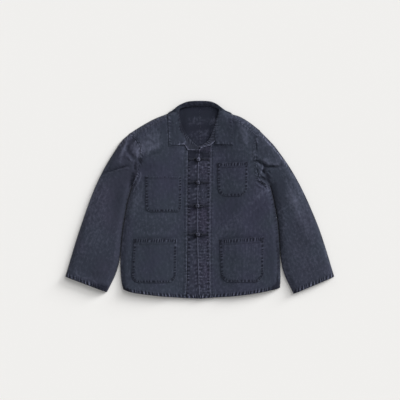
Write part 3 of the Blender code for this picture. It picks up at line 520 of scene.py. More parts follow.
# The rows on each piece, by the name of the line that they follow
SEAM_ROWS = {
    ("front", "both"): (
        ("hem", 5.8, 5.6, 11.5, 1.4, 0.3, 0.42, 5, 1),
        ("armhole", 4, 5, 12, 0.35, 0.4, 0.1, 0.35, 2),
        ("shoulder", 3, 5, 12, 0.3, 0.3, 0.06, 0.2, 3),
        ("band", 8, 4, 13, 0.3, 0, 0.05, 0.35, 4),
    ),
    ("front", "right"): (("underarm", 3, 8, 13, 0.8, 0.9, 0.2, 0.35, 5),),
    ("front", "left"): (
        ("side", 9, 5, 13, 0.4, 0.3, 0.04, 0.5, 6),
        ("underarm", 6, 7, 12, 0.6, -0.9, 0.1, 0.2, 7),
    ),
    ("sleeve", "both"): (
        ("cuff", 6.2, 6.4, 11.5, 1.5, 0.4, 0.45, 5.4, 8),
        ("armhole", 3, 5, 13, 0.35, 0.5, 0.08, 0.25, 9),
        ("inner", 3, 5, 15, 0.3, 0.4, 0.04, 0.2, 10),
    ),
    ("sleeve", "right"): (("sleeve head", 6, 6, 13, 0.5, 0.8, 0.2, 0.6, 12),),
    ("sleeve", "left"): (("sleeve head", 6, 4, 9.5, 0.4, 0.6, 0.16, 0.3, 11),),
    ("back", "both"): (
        ("back hem", 5.6, 4.6, 12.5, 0.5, 0.3, 0.4, 2.2, 13),
        ("middle", 4, 4, 12, 0.3, 0.3, 0.1, 0.2, 14),
        ("side", 5, 5, 13, 0.3, 0.3, 0.1, 0.4, 15),
        ("shoulder", 4, 5, 12, 0.3, 0.5, 0.1, 0.3, 16),
        ("edge", 3, 4, 11, 0.3, 0.6, 0.2, 0.5, 17),
    ),
    ("band", "both"): (
        ("centre", 9, 8, 17, 0.35, 0.35, 0.1, 0.35, 20),
        ("foot", 5.8, 5.6, 11.5, 1.3, 0.3, 0.6, 5, 21),
    ),
    ("band", "right"): (("band", 5, 4, 14, 0.8, 0, 0.15, 2.2, 18),),
    ("band", "left"): (("band", 5, 4, 14, 0.8, 0, 0.15, 2.2, 19),),
}

UNDER_SLEEVE_ROWS = 3      # the under sleeve has no row at the sleeve's head, which is the last

# An edge where doubled cloth is turned: worn pale right along it. depth is how wide the pale line is.
Edge = namedtuple("Edge", "line depth wear")

# The worn edges of each piece: the line, how far it is moved to the wearer's left, depth and wear
WORN_EDGES = {
    ("front", "both"): (("hem", 0.0, 1.8, 0.2), ("armhole", 0.0, 2.2, 0.2), ("shoulder", 0.0, 2.2, 0.2)),
    ("front", "right"): (("band", -1.0, 2.2, 0.7),),
    ("front", "left"): (("band", 1.6, 2.2, 1.0), ("side", -3.5, 2.2, 0.1)),
    ("sleeve", "both"): (("cuff", 0.0, 1.8, 0.2),),
    ("back", "both"): (("middle", 0.0, 2.0, 0.1), ("edge", 0.0, 4.0, 0.1)),
    ("band", "left"): (("centre", 0.9, 2.0, 2.6),),
}

# Rows of stitches: the line and how far they lie inside the piece from it
STITCH_ROWS = {
    "front": (("hem", 11), ("armhole", -3.5), ("armhole", -9), ("shoulder", -3.5), ("band", 3.0),
              ("band", 9.0), ("side", -4.0)),
    "sleeve": (("cuff", 11), ("inner", 3.5)),
    "band": (("band", -3.2), ("foot", 11)),
}
STITCH_LIFT = 0.15         # how far the thread lies above the cloth


# Curves and patches in plan, as arrays of x and y in millimetres

def points_of(rows, kind):
    """The places in a table's rows, from the columns of one kind."""
    return np.array([(getattr(row, kind + "_x"), getattr(row, kind + "_y")) for row in rows], float)


def smooth_curve(points, per_span=12):
    """A smooth curve through the points, finely cut."""
    points = np.asarray(points, float)
    ends = np.vstack([2 * points[0] - points[1], points, 2 * points[-1] - points[-2]])
    steps = np.linspace(0.0, 1.0, per_span, endpoint=False)[:, None]
    spans = []
    for before, start, end, after in zip(ends, ends[1:], ends[2:], ends[3:]):
        bend = 2 * before - 5 * start + 4 * end - after
        twist = 3 * (start - end) + after - before
        spans.append(0.5 * (2 * start + (end - before) * steps + bend * steps ** 2 + twist * steps ** 3))
    return np.vstack(spans + [points[-1:]])


def unit(vectors):
    return vectors / np.maximum(np.linalg.norm(vectors, axis=-1, keepdims=True), 1e-9)


def side_step(line, distance):
    """The line moved to its left."""
    way = unit(np.gradient(line, axis=0))
    return line + np.column_stack([-way[:, 1], way[:, 0]]) * distance


def run_lengths(curve):
    steps = np.linalg.norm(np.diff(curve, axis=0), axis=1)
    return np.concatenate([[0.0], np.cumsum(steps)])


def cut_at(curve, lengths, run=None):
    """The curve's places at the given lengths along it, or along another curve that has that run."""
    run = run_lengths(curve) if run is None else run
    return np.column_stack([np.interp(lengths, run, curve[:, axis]) for axis in range(curve.shape[1])])


def even_cut(curve, steps):
    return cut_at(curve, np.linspace(0.0, run_lengths(curve)[-1], steps + 1))


def cut_like(curve, pattern):
    """The curve cut in the same proportions as the pattern line."""
    return cut_at(curve, run_lengths(pattern) / run_lengths(pattern)[-1] * run_lengths(curve)[-1])


def stretch(rows, kind, steps):
    return even_cut(smooth_curve(points_of(rows, kind)), steps)


def joined(*stretches):
    """Stretches that share their end points, as one line of points."""
    return np.vstack([stretches[0]] + [part[1:] for part in stretches[1:]])


def between(first, second, share):
    return first * (1 - share) + second * share


def fractions(*lines):
    return np.mean([run_lengths(line) / run_lengths(line)[-1] for line in lines], axis=0)


def patch(bottom, top, start, end):
    """Plan grid [row, column] that fills four edges; bottom and top run from start to end."""
    across = fractions(bottom, top)[None, :, None]
    upward = fractions(start, end)[:, None, None]
    corners = between(between(bottom[0], bottom[-1], across), between(top[0], top[-1], across), upward)
    along_edges = between(bottom[None], top[None], upward)
    return along_edges + between(start[:, None], end[:, None], across) - corners


def border_of(rows, columns):
    """Grid places round the border, in order."""
    places = [(0, column) for column in range(columns)]
    places += [(row, columns - 1) for row in range(1, rows)]
    places += [(rows - 1, column) for column in range(columns - 2, -1, -1)]
    places += [(row, 0) for row in range(rows - 2, 0, -1)]
    return places


def inset(plan, distance=SEAM_GAP / 2):
    """Move the border of a plan grid inwards."""
    rows, columns = np.array(border_of(*plan.shape[:2])).T
    loop = plan[rows, columns]
    following = np.roll(loop, -1, axis=0)
    turn = np.sign(np.sum(loop[:, 0] * following[:, 1] - loop[:, 1] * following[:, 0]))
    before = unit(loop - np.roll(loop, 1, axis=0))
    after = unit(following - loop)
    inward = [turn * np.column_stack([-way[:, 1], way[:, 0]]) for way in (before, after)]
    middle = unit(inward[0] + inward[1])
    lengthened = 1.0 / np.clip(np.sum(middle * inward[1], axis=1), SHARPEST_CORNER, 1.0)
    result = plan.copy()
    result[rows, columns] = loop + middle * (distance * lengthened)[:, None]
    return result


def smoothstep(value):
    clipped = np.clip(value, 0.0, 1.0)
    return clipped * clipped * (3 - 2 * clipped)


def window(value, start, end, rise, fall):
    """1 between start and end, and fading to 0 within rise and fall of them."""
    return smoothstep((value - start) / rise) * smoothstep((end - value) / fall)


def bell(value):
    return np.exp(-value * value)


def turned(places, turn):
    """How far the places lie along and across a direction that is turned from X, in degrees."""
    cosine, sine = math.cos(math.radians(turn)), math.sin(math.radians(turn))
    return places @ np.array([cosine, sine]), places @ np.array([-sine, cosine])


def along(line, places):
    """How far along the line each place's nearest point is, and how far off it the place lies,
    positive to the left of the line's way."""
    best = np.full(places.shape[:-1], np.inf)
    run = np.zeros_like(best)
    side = np.ones_like(best)
    if not best.size:
        return run, best
    for start, end, length in zip(line, line[1:], run_lengths(line)):
        step = end - start
        reach = places - start
        share = np.clip((reach @ step) / (step @ step), 0.0, 1.0)
        away_x = reach[..., 0] - share * step[0]
        away_y = reach[..., 1] - share * step[1]
        gap = np.hypot(away_x, away_y)
        closer = gap < best
        best[closer] = gap[closer]
        run[closer] = (length + share * np.hypot(*step))[closer]
        side[closer] = np.where(step[0] * away_y - step[1] * away_x < 0, -1.0, 1.0)[closer]
    return run, best * side


def distance_to(line, places):
    return np.abs(along(line, places)[1])


def nearest(lines, places):
    return np.min([distance_to(line, places) for line in lines], axis=0)


def beside(line, places, reach):
    """Which places lie within reach of the line's box, and where they are along and beside it."""
    near = np.all((places > line.min(axis=0) - reach) & (places < line.max(axis=0) + reach), axis=-1)
    return near, *along(line, places[near])


def tapered(line, run, ends, least):
    """1 along the middle of the line, and fading to the least over a share of its length at both ends."""
    return between(least, 1.0, window(run / run_lengths(line)[-1], 0, 1, ends, ends))


# Named lines that the rows of puckers and stitches follow

FRONT_LINE = smooth_curve(CENTRE_FRONT)
ROLL_LINE = smooth_curve(points_of(FALL, "roll"), 6)
MIDDLE_LINE = np.vstack([FRONT_LINE[::6], [(0.0, 420.0)]])
NECK_LINE = np.array([(0.0, 215.0), (0.0, 370.0)])
EDGE_TABLES = {"hem": HEM, "side": SIDE_SEAM, "armhole": ARMHOLE, "shoulder": SHOULDER_SEAM,
               "edge": SHOULDER_EDGE, "band": BAND_SEAM, "inner": SLEEVE_INNER, "outer": SLEEVE_OUTER}


def seam_lines(side, per_span=8):
    lines = {name: smooth_curve(points_of(rows, side), per_span) for name, rows in EDGE_TABLES.items()}
    right = side == "right"
    lines["cuff"] = np.array([lines["outer"][0], lines["inner"][0]])
    lines["foot"] = np.array([lines["band"][0], FRONT_LINE[0]])
    lines["centre"] = FRONT_LINE
    lines["middle"] = np.array([(0.0, -366.0), (0.0, 344.0)])
    lines["back hem"] = np.vstack([lines["hem"], [(0.0, lines["hem"][-1][1] - HEM_BELOW)]])
    lines["underarm"] = lines["armhole"][10:30] if right else lines["armhole"][:22]
    lines["sleeve head"] = lines["outer"][44 if right else 30:]
    return lines


LINES = {side: seam_lines(side) for side in SIDES}
COARSE_LINES = {side: seam_lines(side, 4) for side in SIDES}
FOLDED_EDGES = [COARSE_LINES[side][name] for side in SIDES for name in ("side", "edge", "outer", "inner")]
THICK_EDGES = [COARSE_LINES[side][name] for side in SIDES for name in ("hem", "cuff", "foot")]


def rows_of(piece, side):
    """The rows of puckers on a piece."""
    rows = SEAM_ROWS.get((piece, "both"), ()) + SEAM_ROWS.get((piece, side), ())
    return [Row(LINES[side][line], *sizes) for line, *sizes in rows]


def edges_of(piece, side):
    """The worn edges of a piece."""
    edges = WORN_EDGES.get((piece, "both"), ()) + WORN_EDGES.get((piece, side), ())
    return [Edge(LINES[side][line] + np.array([shift, 0.0]), *sizes) for line, shift, *sizes in edges]


# Heights of the layers

def back_height(places):
    """Underside of the back: on the surface, and over the collar fall near the neck."""
    over_line = smoothstep((places[..., 1] - LIFT_LINE + LIFT_FADE) / LIFT_FADE)
    inside = 1 - smoothstep((np.abs(places[..., 0]) - LIFT_HALF_WIDTH) / LIFT_FADE)
    return COLLAR_LIFT * over_line * inside


def waves(places, lengths, seed, count=7):
    """Smooth unevenness between about -1 and 1, with wavelengths between the two lengths."""
    random = np.random.default_rng(seed)
    total = np.zeros(places.shape[:-1])
    for length in np.geomspace(lengths[0], lengths[1], count):
        turn = random.uniform(0, math.pi)
        shift = random.uniform(0, 2 * math.pi)
        bend = random.uniform(0.4, 1.4)
        across, sideways = turned(places, math.degrees(turn))
        total += np.sin(2 * math.pi * across / length + shift + bend * np.sin(sideways / length * 2.4))
    return total / count * 1.6


def wandering(places):
    """Shift places a little, so that folds and worn lines run unevenly."""
    shifts = [WANDER * waves(places, (34, 80), seed, 4) + waves(places, (11, 26), seed + 1, 4)
              for seed in (51, 53)]
    return places + np.stack(shifts, axis=-1)


def fold_height(places):
    """All the soft folds together."""
    places = wandering(places)
    total = np.zeros(places.shape[:-1])
    for fold in FOLDS:
        curve = smooth_curve(fold.points, 6)
        near, run, off = beside(curve, places, 3 * max(fold.left_reach, fold.right_reach))
        reach = np.where(off > 0, fold.left_reach, fold.right_reach)
        total[near] += fold.height * tapered(curve, run, 0.3, FOLD_AT_END) * bell(off / reach)
    return total


def rumple(places):
    """The unevenness of washed cloth at rest."""
    return RUMPLE * waves(places, (70, 170), 3) + FINE_RUMPLE * waves(places, (16, 44), 11)


def swell(depth, reach, power):
    """Rise from 0 at an edge to 1 at the reach inside it."""
    return (1 - (1 - np.clip(depth / reach, 0.0, 1.0)) ** 2) ** power


def lay_height(places):
    """Underside of the upper layer: fronts, bands and top sleeves."""
    depth = np.maximum(nearest(FOLDED_EDGES, places) - LAID_RIM, 0.0)
    from_front = smoothstep((distance_to(MIDDLE_LINE, places) - FRONT_FLAT) / FRONT_FADE)
    loft = LOFT * between(LOFT_AT_FRONT, 1.0, from_front)
    near_neck = 1 - smoothstep((distance_to(NECK_LINE, places) - NECK_FLAT) / NECK_FADE)
    over_hem = 1 - smoothstep((nearest(THICK_EDGES, places) - HEM_DEPTH - HEM_STEP) / HEM_FADE)
    crown = CROWN * swell(depth, CROWN_REACH, 1) + loft * swell(depth, LOFT_REACH, 0.5)
    crown *= between(1.0, LOFT_AT_NECK, near_neck)
    folds = (fold_height(places) + rumple(places)) * smoothstep(depth / FOLD_START)
    on_back = back_height(places) + between(PLY, HEM_PLY, over_hem) + SEAM_GAP
    return on_back + np.maximum(crown + folds, 0.0)


def lap_height(places):
    """How far the left band is lifted by the right band under it."""
    reach = distance_to(FRONT_LINE, places)
    return (BAND_PLY + SEAM_GAP) * (1 - smoothstep((reach - LAP_FLAT) / LAP_FADE))


def slow_waves(sizes, phase, seed):
    """The sum of the waves with the given strengths, spans and shifts."""
    return sum(size * np.sin(phase / span + shift * seed) for size, span, shift in sizes)


def ripple(run, off, row):
    """Uneven ridges between 0 and 1 along a seam, and how strong they are."""
    turn = 2 * math.pi / row.pitch
    phase = (run + row.slant * off) * turn + slow_waves(PITCH_WAVES, run * turn, row.seed)
    strength = MEAN_STRENGTH + slow_waves(STRENGTH_WAVES, run * turn, row.seed)
    return (0.5 + 0.5 * np.cos(phase)) ** RIDGE_SHARPNESS, strength


def sewn(places, rows):
    """Height, and the paler ridges and darker hollows of the dye, that the rows of puckers give a layer."""
    height = np.zeros(places.shape[:-1])
    wear = np.zeros_like(height)
    for row in rows:
        near, run, off = beside(row.line, places, row.inset + 3 * row.reach)
        off = np.abs(off) - row.inset
        ridge, strength = ripple(run, off, row)
        profile = bell(off / row.reach) * strength
        height[near] += PUCKER_RELIEF * row.height * (2 * ridge - 1) * profile
        ridges = row.pale * smoothstep((ridge - PALE_FROM) / PALE_FADE)
        hollows = row.dark * smoothstep((DARK_BELOW - ridge) / DARK_FADE)
        wear[near] += PUCKER_WEAR * (ridges - hollows) * profile
    return height, wear


def edge_wear(places, edges):
    wear = np.zeros(places.shape[:-1])
    uneven = 0.8 + 0.4 * waves(places, (9, 24), 62, 4)
    for edge in edges:
        wear = np.maximum(wear, edge.wear * uneven * bell(distance_to(edge.line, places) / edge.depth))
    return wear


def dye_and_painted_shading(places, piece):
    """Paler and darker areas and lines of a piece's dye, and the painted shade and painted light among
    them.
    """
    places = wandering(places)
    total = np.zeros(places.shape[:-1])
    for tone_area in FADES_AND_PAINTED_SHADING:
        run, off = turned(places - np.array([tone_area.x, tone_area.y]), tone_area.turn)
        total += tone_area.amount * bell(run / tone_area.along) * bell(off / tone_area.across)
    for stroke in [stroke for pieces in STROKES if piece in pieces.split() for stroke in STROKES[pieces]]:
        curve = smooth_curve(stroke.points, 6)
        near, run, off = beside(curve, places, 3 * stroke.reach)
        uneven = 0.8 + 0.35 * waves(places[near], (9, 30), 61, 4)
        strength = tapered(curve, run, 0.2, STROKE_AT_END) * uneven
        total[near] += stroke.amount * strength * bell(off / stroke.reach)
    return total


def hemmed(line, places):
    """Thickness of a panel whose edge along the line is turned up."""
    return between(HEM_PLY, PLY, smoothstep((distance_to(line, places) - HEM_DEPTH) / HEM_STEP))


def under_height(piece, side, places):
    lift = lap_height(places) if (piece, side) == ("band", "left") else 0.0
    return lay_height(places) + lift


def thickness_of(piece, side, places):
    if piece == "band":
        return np.full(places.shape[:-1], BAND_PLY)
    return hemmed(LINES[side]["hem" if piece == "front" else "cuff"], places)


def top_height(piece, side, places):
    """Upper surface of a piece away from its edges."""
    relief = sewn(places, rows_of(piece, side))[0]
    return under_height(piece, side, places) + thickness_of(piece, side, places) + relief


# Meshes

INSIDE = 1                 # the material slot of a layer's inner side
SHARP_ANGLE = 62           # edges that turn by more degrees than this are shaded as sharp


def link(name, data):
    """A new object for the mesh, lamp or camera."""
    thing = bpy.data.objects.new(name, data)
    bpy.context.collection.objects.link(thing)
    return thing


def flat_mesh(name, points, faces, wear, uv):
    """A mesh in metres from points in millimetres, with its wear values and cloth coordinates for each
    point.
    """
    mesh = bpy.data.meshes.new(name)
    mesh.from_pydata((points * METRES).tolist(), [], faces)
    # the attribute holds the rubbed paleness of the cloth and also painted shade and painted light
    worn_and_painted_shading = mesh.attributes.new("wear", "FLOAT", "POINT")
    worn_and_painted_shading.data.foreach_set("value", np.asarray(wear, np.float32))
    corners = np.zeros(len(mesh.loops), np.int32)
    mesh.loops.foreach_get("vertex_index", corners)
    cloth = mesh.uv_layers.new(name="cloth")
    cloth.data.foreach_set("uv", (np.asarray(uv, np.float32)[corners] * METRES).ravel())
    mesh.validate()
    mesh.shade_smooth()
    mesh.set_sharp_from_angle(angle=math.radians(SHARP_ANGLE))
    return link(name, mesh)


def grid_faces(index, flip=False):
    """Quads over a grid of point numbers."""
    quads = np.dstack([index[:-1, :-1], index[:-1, 1:], index[1:, 1:], index[1:, :-1]]).reshape(-1, 4)
    return (quads[:, ::-1] if flip else quads).tolist()


def shell(name, outer, inner, wear, uv, coarse=1):
    """A closed layer of cloth between two grids of points. The inner side is cut more coarsely."""
    rows, columns = outer.shape[:2]
    some = np.ix_(np.arange(0, rows, coarse), np.arange(0, columns, coarse))
    outer_index = np.arange(rows * columns).reshape(rows, columns)
    inner_index = np.full((rows, columns), -1)
    inner_index[some] = rows * columns + np.arange(wear[some].size).reshape(wear[some].shape)
    cross = np.cross(outer[1, 1] - outer[0, 0], outer[1, 0] - outer[0, 1])
    upward = cross @ (outer[1, 1] - inner[coarse, coarse]) > 0
    outer_faces = grid_faces(outer_index, flip=not upward)
    inner_faces = grid_faces(inner_index[some], flip=upward)
    rim = tuple(np.array(border_of(rows, columns) + [(0, 0)]).T)
    outer_rim, inner_rim = outer_index[rim].tolist(), inner_index[rim].tolist()
    stops = [number for number, corner in enumerate(inner_rim) if corner >= 0]
    walls = [outer_rim[start:end + 1][::-1] + [inner_rim[start], inner_rim[end]]
             for start, end in zip(stops, stops[1:])]
    walls = [wall if upward else wall[::-1] for wall in walls]
    points = np.vstack([outer.reshape(-1, 3), inner[some].reshape(-1, 3)])
    flat = np.vstack([uv.reshape(-1, 2), uv[some].reshape(-1, 2)])
    wear_and_painted_shading_values = np.concatenate([wear.ravel(), wear[some].ravel()])
    thing = flat_mesh(name, points, outer_faces + inner_faces + walls, wear_and_painted_shading_values, flat)
    for polygon in thing.data.polygons[len(outer_faces):len(outer_faces) + len(inner_faces)]:
        polygon.material_index = INSIDE
    return thing


def rounded(plan, thickness, drop=0.7):
    """Thickness of a layer that thins towards its own border, as turned cloth does."""
    rim = np.array([plan[place] for place in border_of(*plan.shape[:2]) + [(0, 0)]])
    depth = distance_to(rim[::3] if len(rim) % 3 == 1 else rim, plan)
    return thickness * between(1 - drop, 1.0, swell(depth, EDGE_ROUNDING, 0.5))


def lifted(plan, height):
    return np.dstack([plan, height])


def grain(plan, degrees=0):
    """Cloth coordinates: plan places turned so that the second runs along the warp."""
    return np.stack(turned(plan, degrees), axis=-1)


def laid(name, plan, low, high, wear, degrees=0):
    """A layer that lies flat, with its outer side up."""
    return shell(name + "_cloth", lifted(plan, high), lifted(plan, low), wear, grain(plan, degrees), COARSE)


def grid_normals(grid, up):
    """Directions square to a grid of points, up or down at its start."""
    normal = unit(np.cross(np.gradient(grid, axis=1), np.gradient(grid, axis=0)))
    return normal if (normal[8, 8, 2] > 0) == up else -normal


# Fronts, top sleeves and bands

def front_plan(side):
    steps = SIDE_STEPS + ARMHOLE_STEPS
    start = joined(stretch(SIDE_SEAM, side, SIDE_STEPS), stretch(ARMHOLE, side, ARMHOLE_STEPS))
    end = joined(stretch(BAND_SEAM, side, steps - NECKLINE_STEPS), stretch(NECKLINE, side, NECKLINE_STEPS))
    bottom, top = (stretch(rows, side, SHOULDER_STEPS) for rows in (HEM, SHOULDER_SEAM))
    return inset(patch(bottom, top, start, end))


def beside_body(line, distance):
    """Move the part of the line that runs where sleeve and body meet, away from the middle."""
    shift = np.sign(line[:, 0]) * distance * window(line[:, 1], *BESIDE_BODY)
    return line + np.column_stack([shift, 0 * shift])


def sleeve_plan(side, drawn_out=0.0):
    armhole = stretch(ARMHOLE, side, ARMHOLE_STEPS)
    inner = beside_body(stretch(SLEEVE_INNER, side, SLEEVE_STEPS), drawn_out)
    inner = np.vstack([inner[:-1], armhole[:UNDERARM_STEPS + 1]])
    outer = stretch(SLEEVE_OUTER, side, SLEEVE_STEPS + UNDERARM_STEPS)
    cap = armhole[:UNDERARM_STEPS - 1:-1]
    tip = np.linspace(outer[-1], cap[0], CAP_STEPS, endpoint=False)
    top = np.vstack([tip, cap])
    cuff = cut_like(np.array([outer[0], inner[0]]), top)
    return inset(patch(cuff, top, outer, inner))


def band_top_edge(side):
    """The band's upper edge; the right one goes on straight under the left band."""
    hidden = UNDERLAP_STEPS if side == "right" else 0
    visible = even_cut(smooth_curve(BAND_TOP[side]), BAND_ACROSS_STEPS - hidden)
    under = [visible[-1] + (UNDERLAP * step / hidden, 0.0) for step in range(1, hidden + 1)]
    return np.vstack([visible, *under])


def band_plan(side):
    top = band_top_edge(side)
    start = stretch(BAND_SEAM, side, BAND_STEPS)
    end = even_cut(FRONT_LINE, BAND_STEPS)
    if side == "right":
        end[:, 0] += UNDERLAP
    bottom = cut_like(np.array([start[0], end[0]]), top)
    end[-1] = top[-1]
    top[:, 1] += COLLAR_TUCK
    start = even_cut(np.vstack([start, top[:1]]), BAND_STEPS)
    end = even_cut(np.vstack([end, top[-1:]]), BAND_STEPS)
    return inset(patch(bottom, top, start, end))


# turn is how the cloth's grain is turned on the wearer's right, in degrees
Panel = namedtuple("Panel", "plan name turn slot rests_on")

PANELS = {
    "front": Panel(front_plan, "front_%s", 2, "denim", "back_%s_cloth"),
    "sleeve": Panel(sleeve_plan, "sleeve_top_%s", -20, "denim", "sleeve_under_%s_cloth"),
    "band": Panel(band_plan, "band_%s", 0, "denim_band", "back_%s_cloth"),
}


def crinkled(side, plan):
    """The doubled bands' fine crinkle, and how much paler or darker the rubbed cloth is along it."""
    crinkle = CRINKLE * waves(plan, (9, 26), 31)
    if side == "right":
        return crinkle, 0.8 * crinkle
    crinkle += CRINKLE * waves(plan, (6.5, 12), 32)
    return crinkle, 0.8 * crinkle + 1.7 * np.minimum(crinkle, 0.0)


def panel(piece, side):
    """A front, a top sleeve or a band."""
    plan = PANELS[piece].plan(side)
    low = under_height(piece, side, plan)
    relief, wear = sewn(plan, rows_of(piece, side))
    wear += edge_wear(plan, edges_of(piece, side)) + dye_and_painted_shading(plan, piece)
    if piece == "band":
        crinkle, worn_and_painted_shading = crinkled(side, plan)
        relief += crinkle
        wear += worn_and_painted_shading
    high = low + rounded(plan, thickness_of(piece, side, plan)) + relief
    return laid(PANELS[piece].name % side, plan, low, high, wear, PANELS[piece].turn * LEAN[side])


def sleeve_under(side):
    """The lower sleeve piece: its outer side lies on the surface."""
    plan = sleeve_plan(side, UNDER_STEP + 1.0)[::2, ::2]
    relief, wear = sewn(plan, rows_of("sleeve", side)[:UNDER_SLEEVE_ROWS])
    low = 0.35 * (1 - rounded(plan, 1.0, 1.0)) + np.clip(-relief, 0.0, 0.3)
    high = thickness_of("sleeve", side, plan)
    uv = grain(plan, PANELS["sleeve"].turn * LEAN[side])
    return shell("sleeve_under_%s_cloth" % side, lifted(plan, low), lifted(plan, high), wear, uv)


# The back

def neck_bank(places):
    """How far the back rises inside the neck, towards the collar's left roll."""
    inside = window(places[..., 0], *NECK_BANK_ACROSS) * window(places[..., 1], *NECK_BANK_UPWARD)
    return NECK_BANK * inside * bell(distance_to(ROLL_LINE, places) / NECK_BANK_REACH)


def back_body(side):
    """Plan and thickness of half of the back, up to the shoulder and the neck."""
    neck = stretch(BACK_NECK, side, BACK_NECK_STEPS)
    neck[:, 1] += BACK_TUCK * smoothstep((abs(neck[0, 0]) - np.abs(neck[:, 0])) / BACK_TUCK_FADE)
    edge = joined(stretch(SHOULDER_EDGE, side, BACK_SHOULDER_STEPS), neck)
    side_line = beside_body(stretch(SIDE_SEAM, side, BACK_SIDE_STEPS), UNDER_STEP)
    start = joined(side_line, stretch(ARMHOLE, side, BACK_ARMHOLE_STEPS))
    start = even_cut(np.vstack([start, edge[:1]]), len(start) - 1)
    middle = np.array([LINES[side]["back hem"][-1], neck[-1]])
    hem = np.vstack([smooth_curve(points_of(HEM, side)), middle[:1]])
    plan = inset(patch(cut_like(hem, edge), edge, start, even_cut(middle, len(start) - 1)))
    return plan, hemmed(hem, plan)


def over_shoulder(side, rim, low):
    """Rows of points that carry the back from its rim over the shoulder to the seam on the front."""
    seam = stretch(SHOULDER_SEAM, side, BACK_SHOULDER_STEPS)
    ends = np.vstack([seam, np.repeat(seam[-1:], BACK_NECK_STEPS, axis=0)])
    inward = unit(ends - rim)
    high = lay_height(rim) + PLY / 2
    folded = np.arange(len(rim)) <= BACK_SHOULDER_STEPS

    def row(plan, height, neck_step):
        """Folded over the shoulder, and drawn back a little at the neck."""
        plan = np.where(folded[:, None], plan, rim - np.array([0.0, neck_step]))
        return np.column_stack([plan, np.where(folded, height, low)])

    rows = []
    for angle in np.linspace(0.0, math.pi, 6)[1:]:
        height = between(low, high, (1 - math.cos(angle)) / 2)
        rows.append(row(rim - inward * math.sin(angle), height, 0.02 * (angle + 1)))
    for share in np.linspace(0.0, 1.0, 13)[1:]:
        plan = between(rim, ends - inward * SEAM_GAP, share)
        rows.append(row(plan, lay_height(plan) + PLY / 2, 0.1 * (1 + share)))
    return np.array(rows)


def back_panel(side):
    """Half of the back, turned over the shoulder to the seam on the front."""
    plan, thickness = back_body(side)
    height = back_height(plan) + thickness / 2 + neck_bank(plan)
    strip = over_shoulder(side, plan[-1], height[-1])
    grid = np.concatenate([lifted(plan, height), strip])
    thickness = np.concatenate([thickness, np.full(strip.shape[:2], PLY)])
    plan = grid[..., :2]
    normal = grid_normals(grid, up=False)
    relief, wear = sewn(plan, rows_of("back", side))
    wear += edge_wear(plan, edges_of("back", side)) + dye_and_painted_shading(plan, "back")
    flat = (grid[..., 2] < thickness + BACK_STEP_UP) & (plan[..., 1] < BACK_NECK_START)
    relief = np.where(flat, np.clip(relief, -0.5, 0.0), relief * 0.8)
    outer = grid + normal * (thickness / 2 + relief)[..., None]
    outer[..., 2] = np.maximum(outer[..., 2], 0.0)
    inner = grid - normal * (thickness / 2)[..., None]
    return shell("back_%s_cloth" % side, outer, inner, wear, grain(plan))


# Patch pockets

def pocket_outline(row):
    """Right edge, bottom and left edge. The edges run upwards, the bottom to the wearer's left."""
    level = row.bottom_y + row.corner
    right_middle = (row.bottom_right_x + row.corner, level)
    left_middle = (row.bottom_left_x - row.corner, level)

    def corner(middle, start, end):
        turn = np.radians(np.linspace(start, end, 9))
        return np.array(middle) + row.corner * np.column_stack([np.cos(turn), np.sin(turn)])

    right = np.vstack([corner(right_middle, 225, 180), (row.top_right_x, row.top_right_y)])
    left = np.vstack([corner(left_middle, -45, 0), (row.top_left_x, row.top_left_y)])
    bottom = np.vstack([corner(right_middle, 225, 270), corner(left_middle, 270, 315)])
    return right, bottom, left


def pocket_lines(row):
    """The sewn edge, down on the wearer's right and up on the left, and the mouth."""
    right, bottom, left = pocket_outline(row)
    return np.vstack([right[::-1], bottom[1:], left[1:]]), np.array([right[-1], left[-1]])


def pocket_plan(row):
    right, bottom, left = pocket_outline(row)
    rows, columns = (int(run_lengths(line)[-1] / POCKET_STEP / COARSE) * COARSE for line in (right, bottom))
    mouth = even_cut(np.array([right[-1], left[-1]]), columns)
    return patch(even_cut(bottom, columns), mouth, even_cut(right, rows), even_cut(left, rows))


def pocket_rows(row):
    sides, mouth = pocket_lines(row)
    seed = row.top_right_x * 0.1
    inward, reach = row.hem_depth * 0.37, row.hem_depth * 0.21
    height, pale, dark = (share * row.hem_puckers for share in (0.7, 0.18, 3.2))
    return [
        Row(sides, 6.0, 3.2, 12, 0.7, 0.1, 0.15, 2.3, seed),
        Row(mouth, inward, reach, 10, height, 0.15, pale, dark, seed + 2),
    ]


def pocket_shape(row, places):
    """Underside of a pocket where it is taut, how far it bulges, and its thickness."""
    sides, mouth = pocket_lines(row)
    from_side, from_mouth = distance_to(sides, places), distance_to(mouth, places)
    gape = POCKET_GAPE * bell(from_mouth / GAPE_DEPTH) * smoothstep(from_side / GAPE_FADE)
    uneven = 1 + BULGE_UNEVEN * waves(places, (30, 80), 41)
    bulge = POCKET_BULGE * smoothstep(from_side / BULGE_FADE) * uneven
    thickness = PLY * (1 + POCKET_HEM * smoothstep((row.hem_depth - from_mouth) / POCKET_HEM_FADE))
    return top_height("front", row.side, places) + LAID_GAP + gape, bulge, thickness


def pocket_top(row, places):
    """Upper surface of a pocket away from its edges."""
    low, bulge, thickness = pocket_shape(row, places)
    return low + bulge + thickness + sewn(places, pocket_rows(row))[0]


def pocket(row):
    plan = pocket_plan(row)
    sides, mouth = pocket_lines(row)
    low, bulge, thickness = pocket_shape(row, plan)
    relief, wear = sewn(plan, pocket_rows(row))
    wear += edge_wear(plan, [Edge(sides, 1.8, 0.08), Edge(mouth, 1.8, 0.04)]) + dye_and_painted_shading(plan, "pocket")
    return laid(row.name, plan, low + 0.7 * bulge, low + bulge + rounded(plan, thickness) + relief, wear)


# The collar's stand

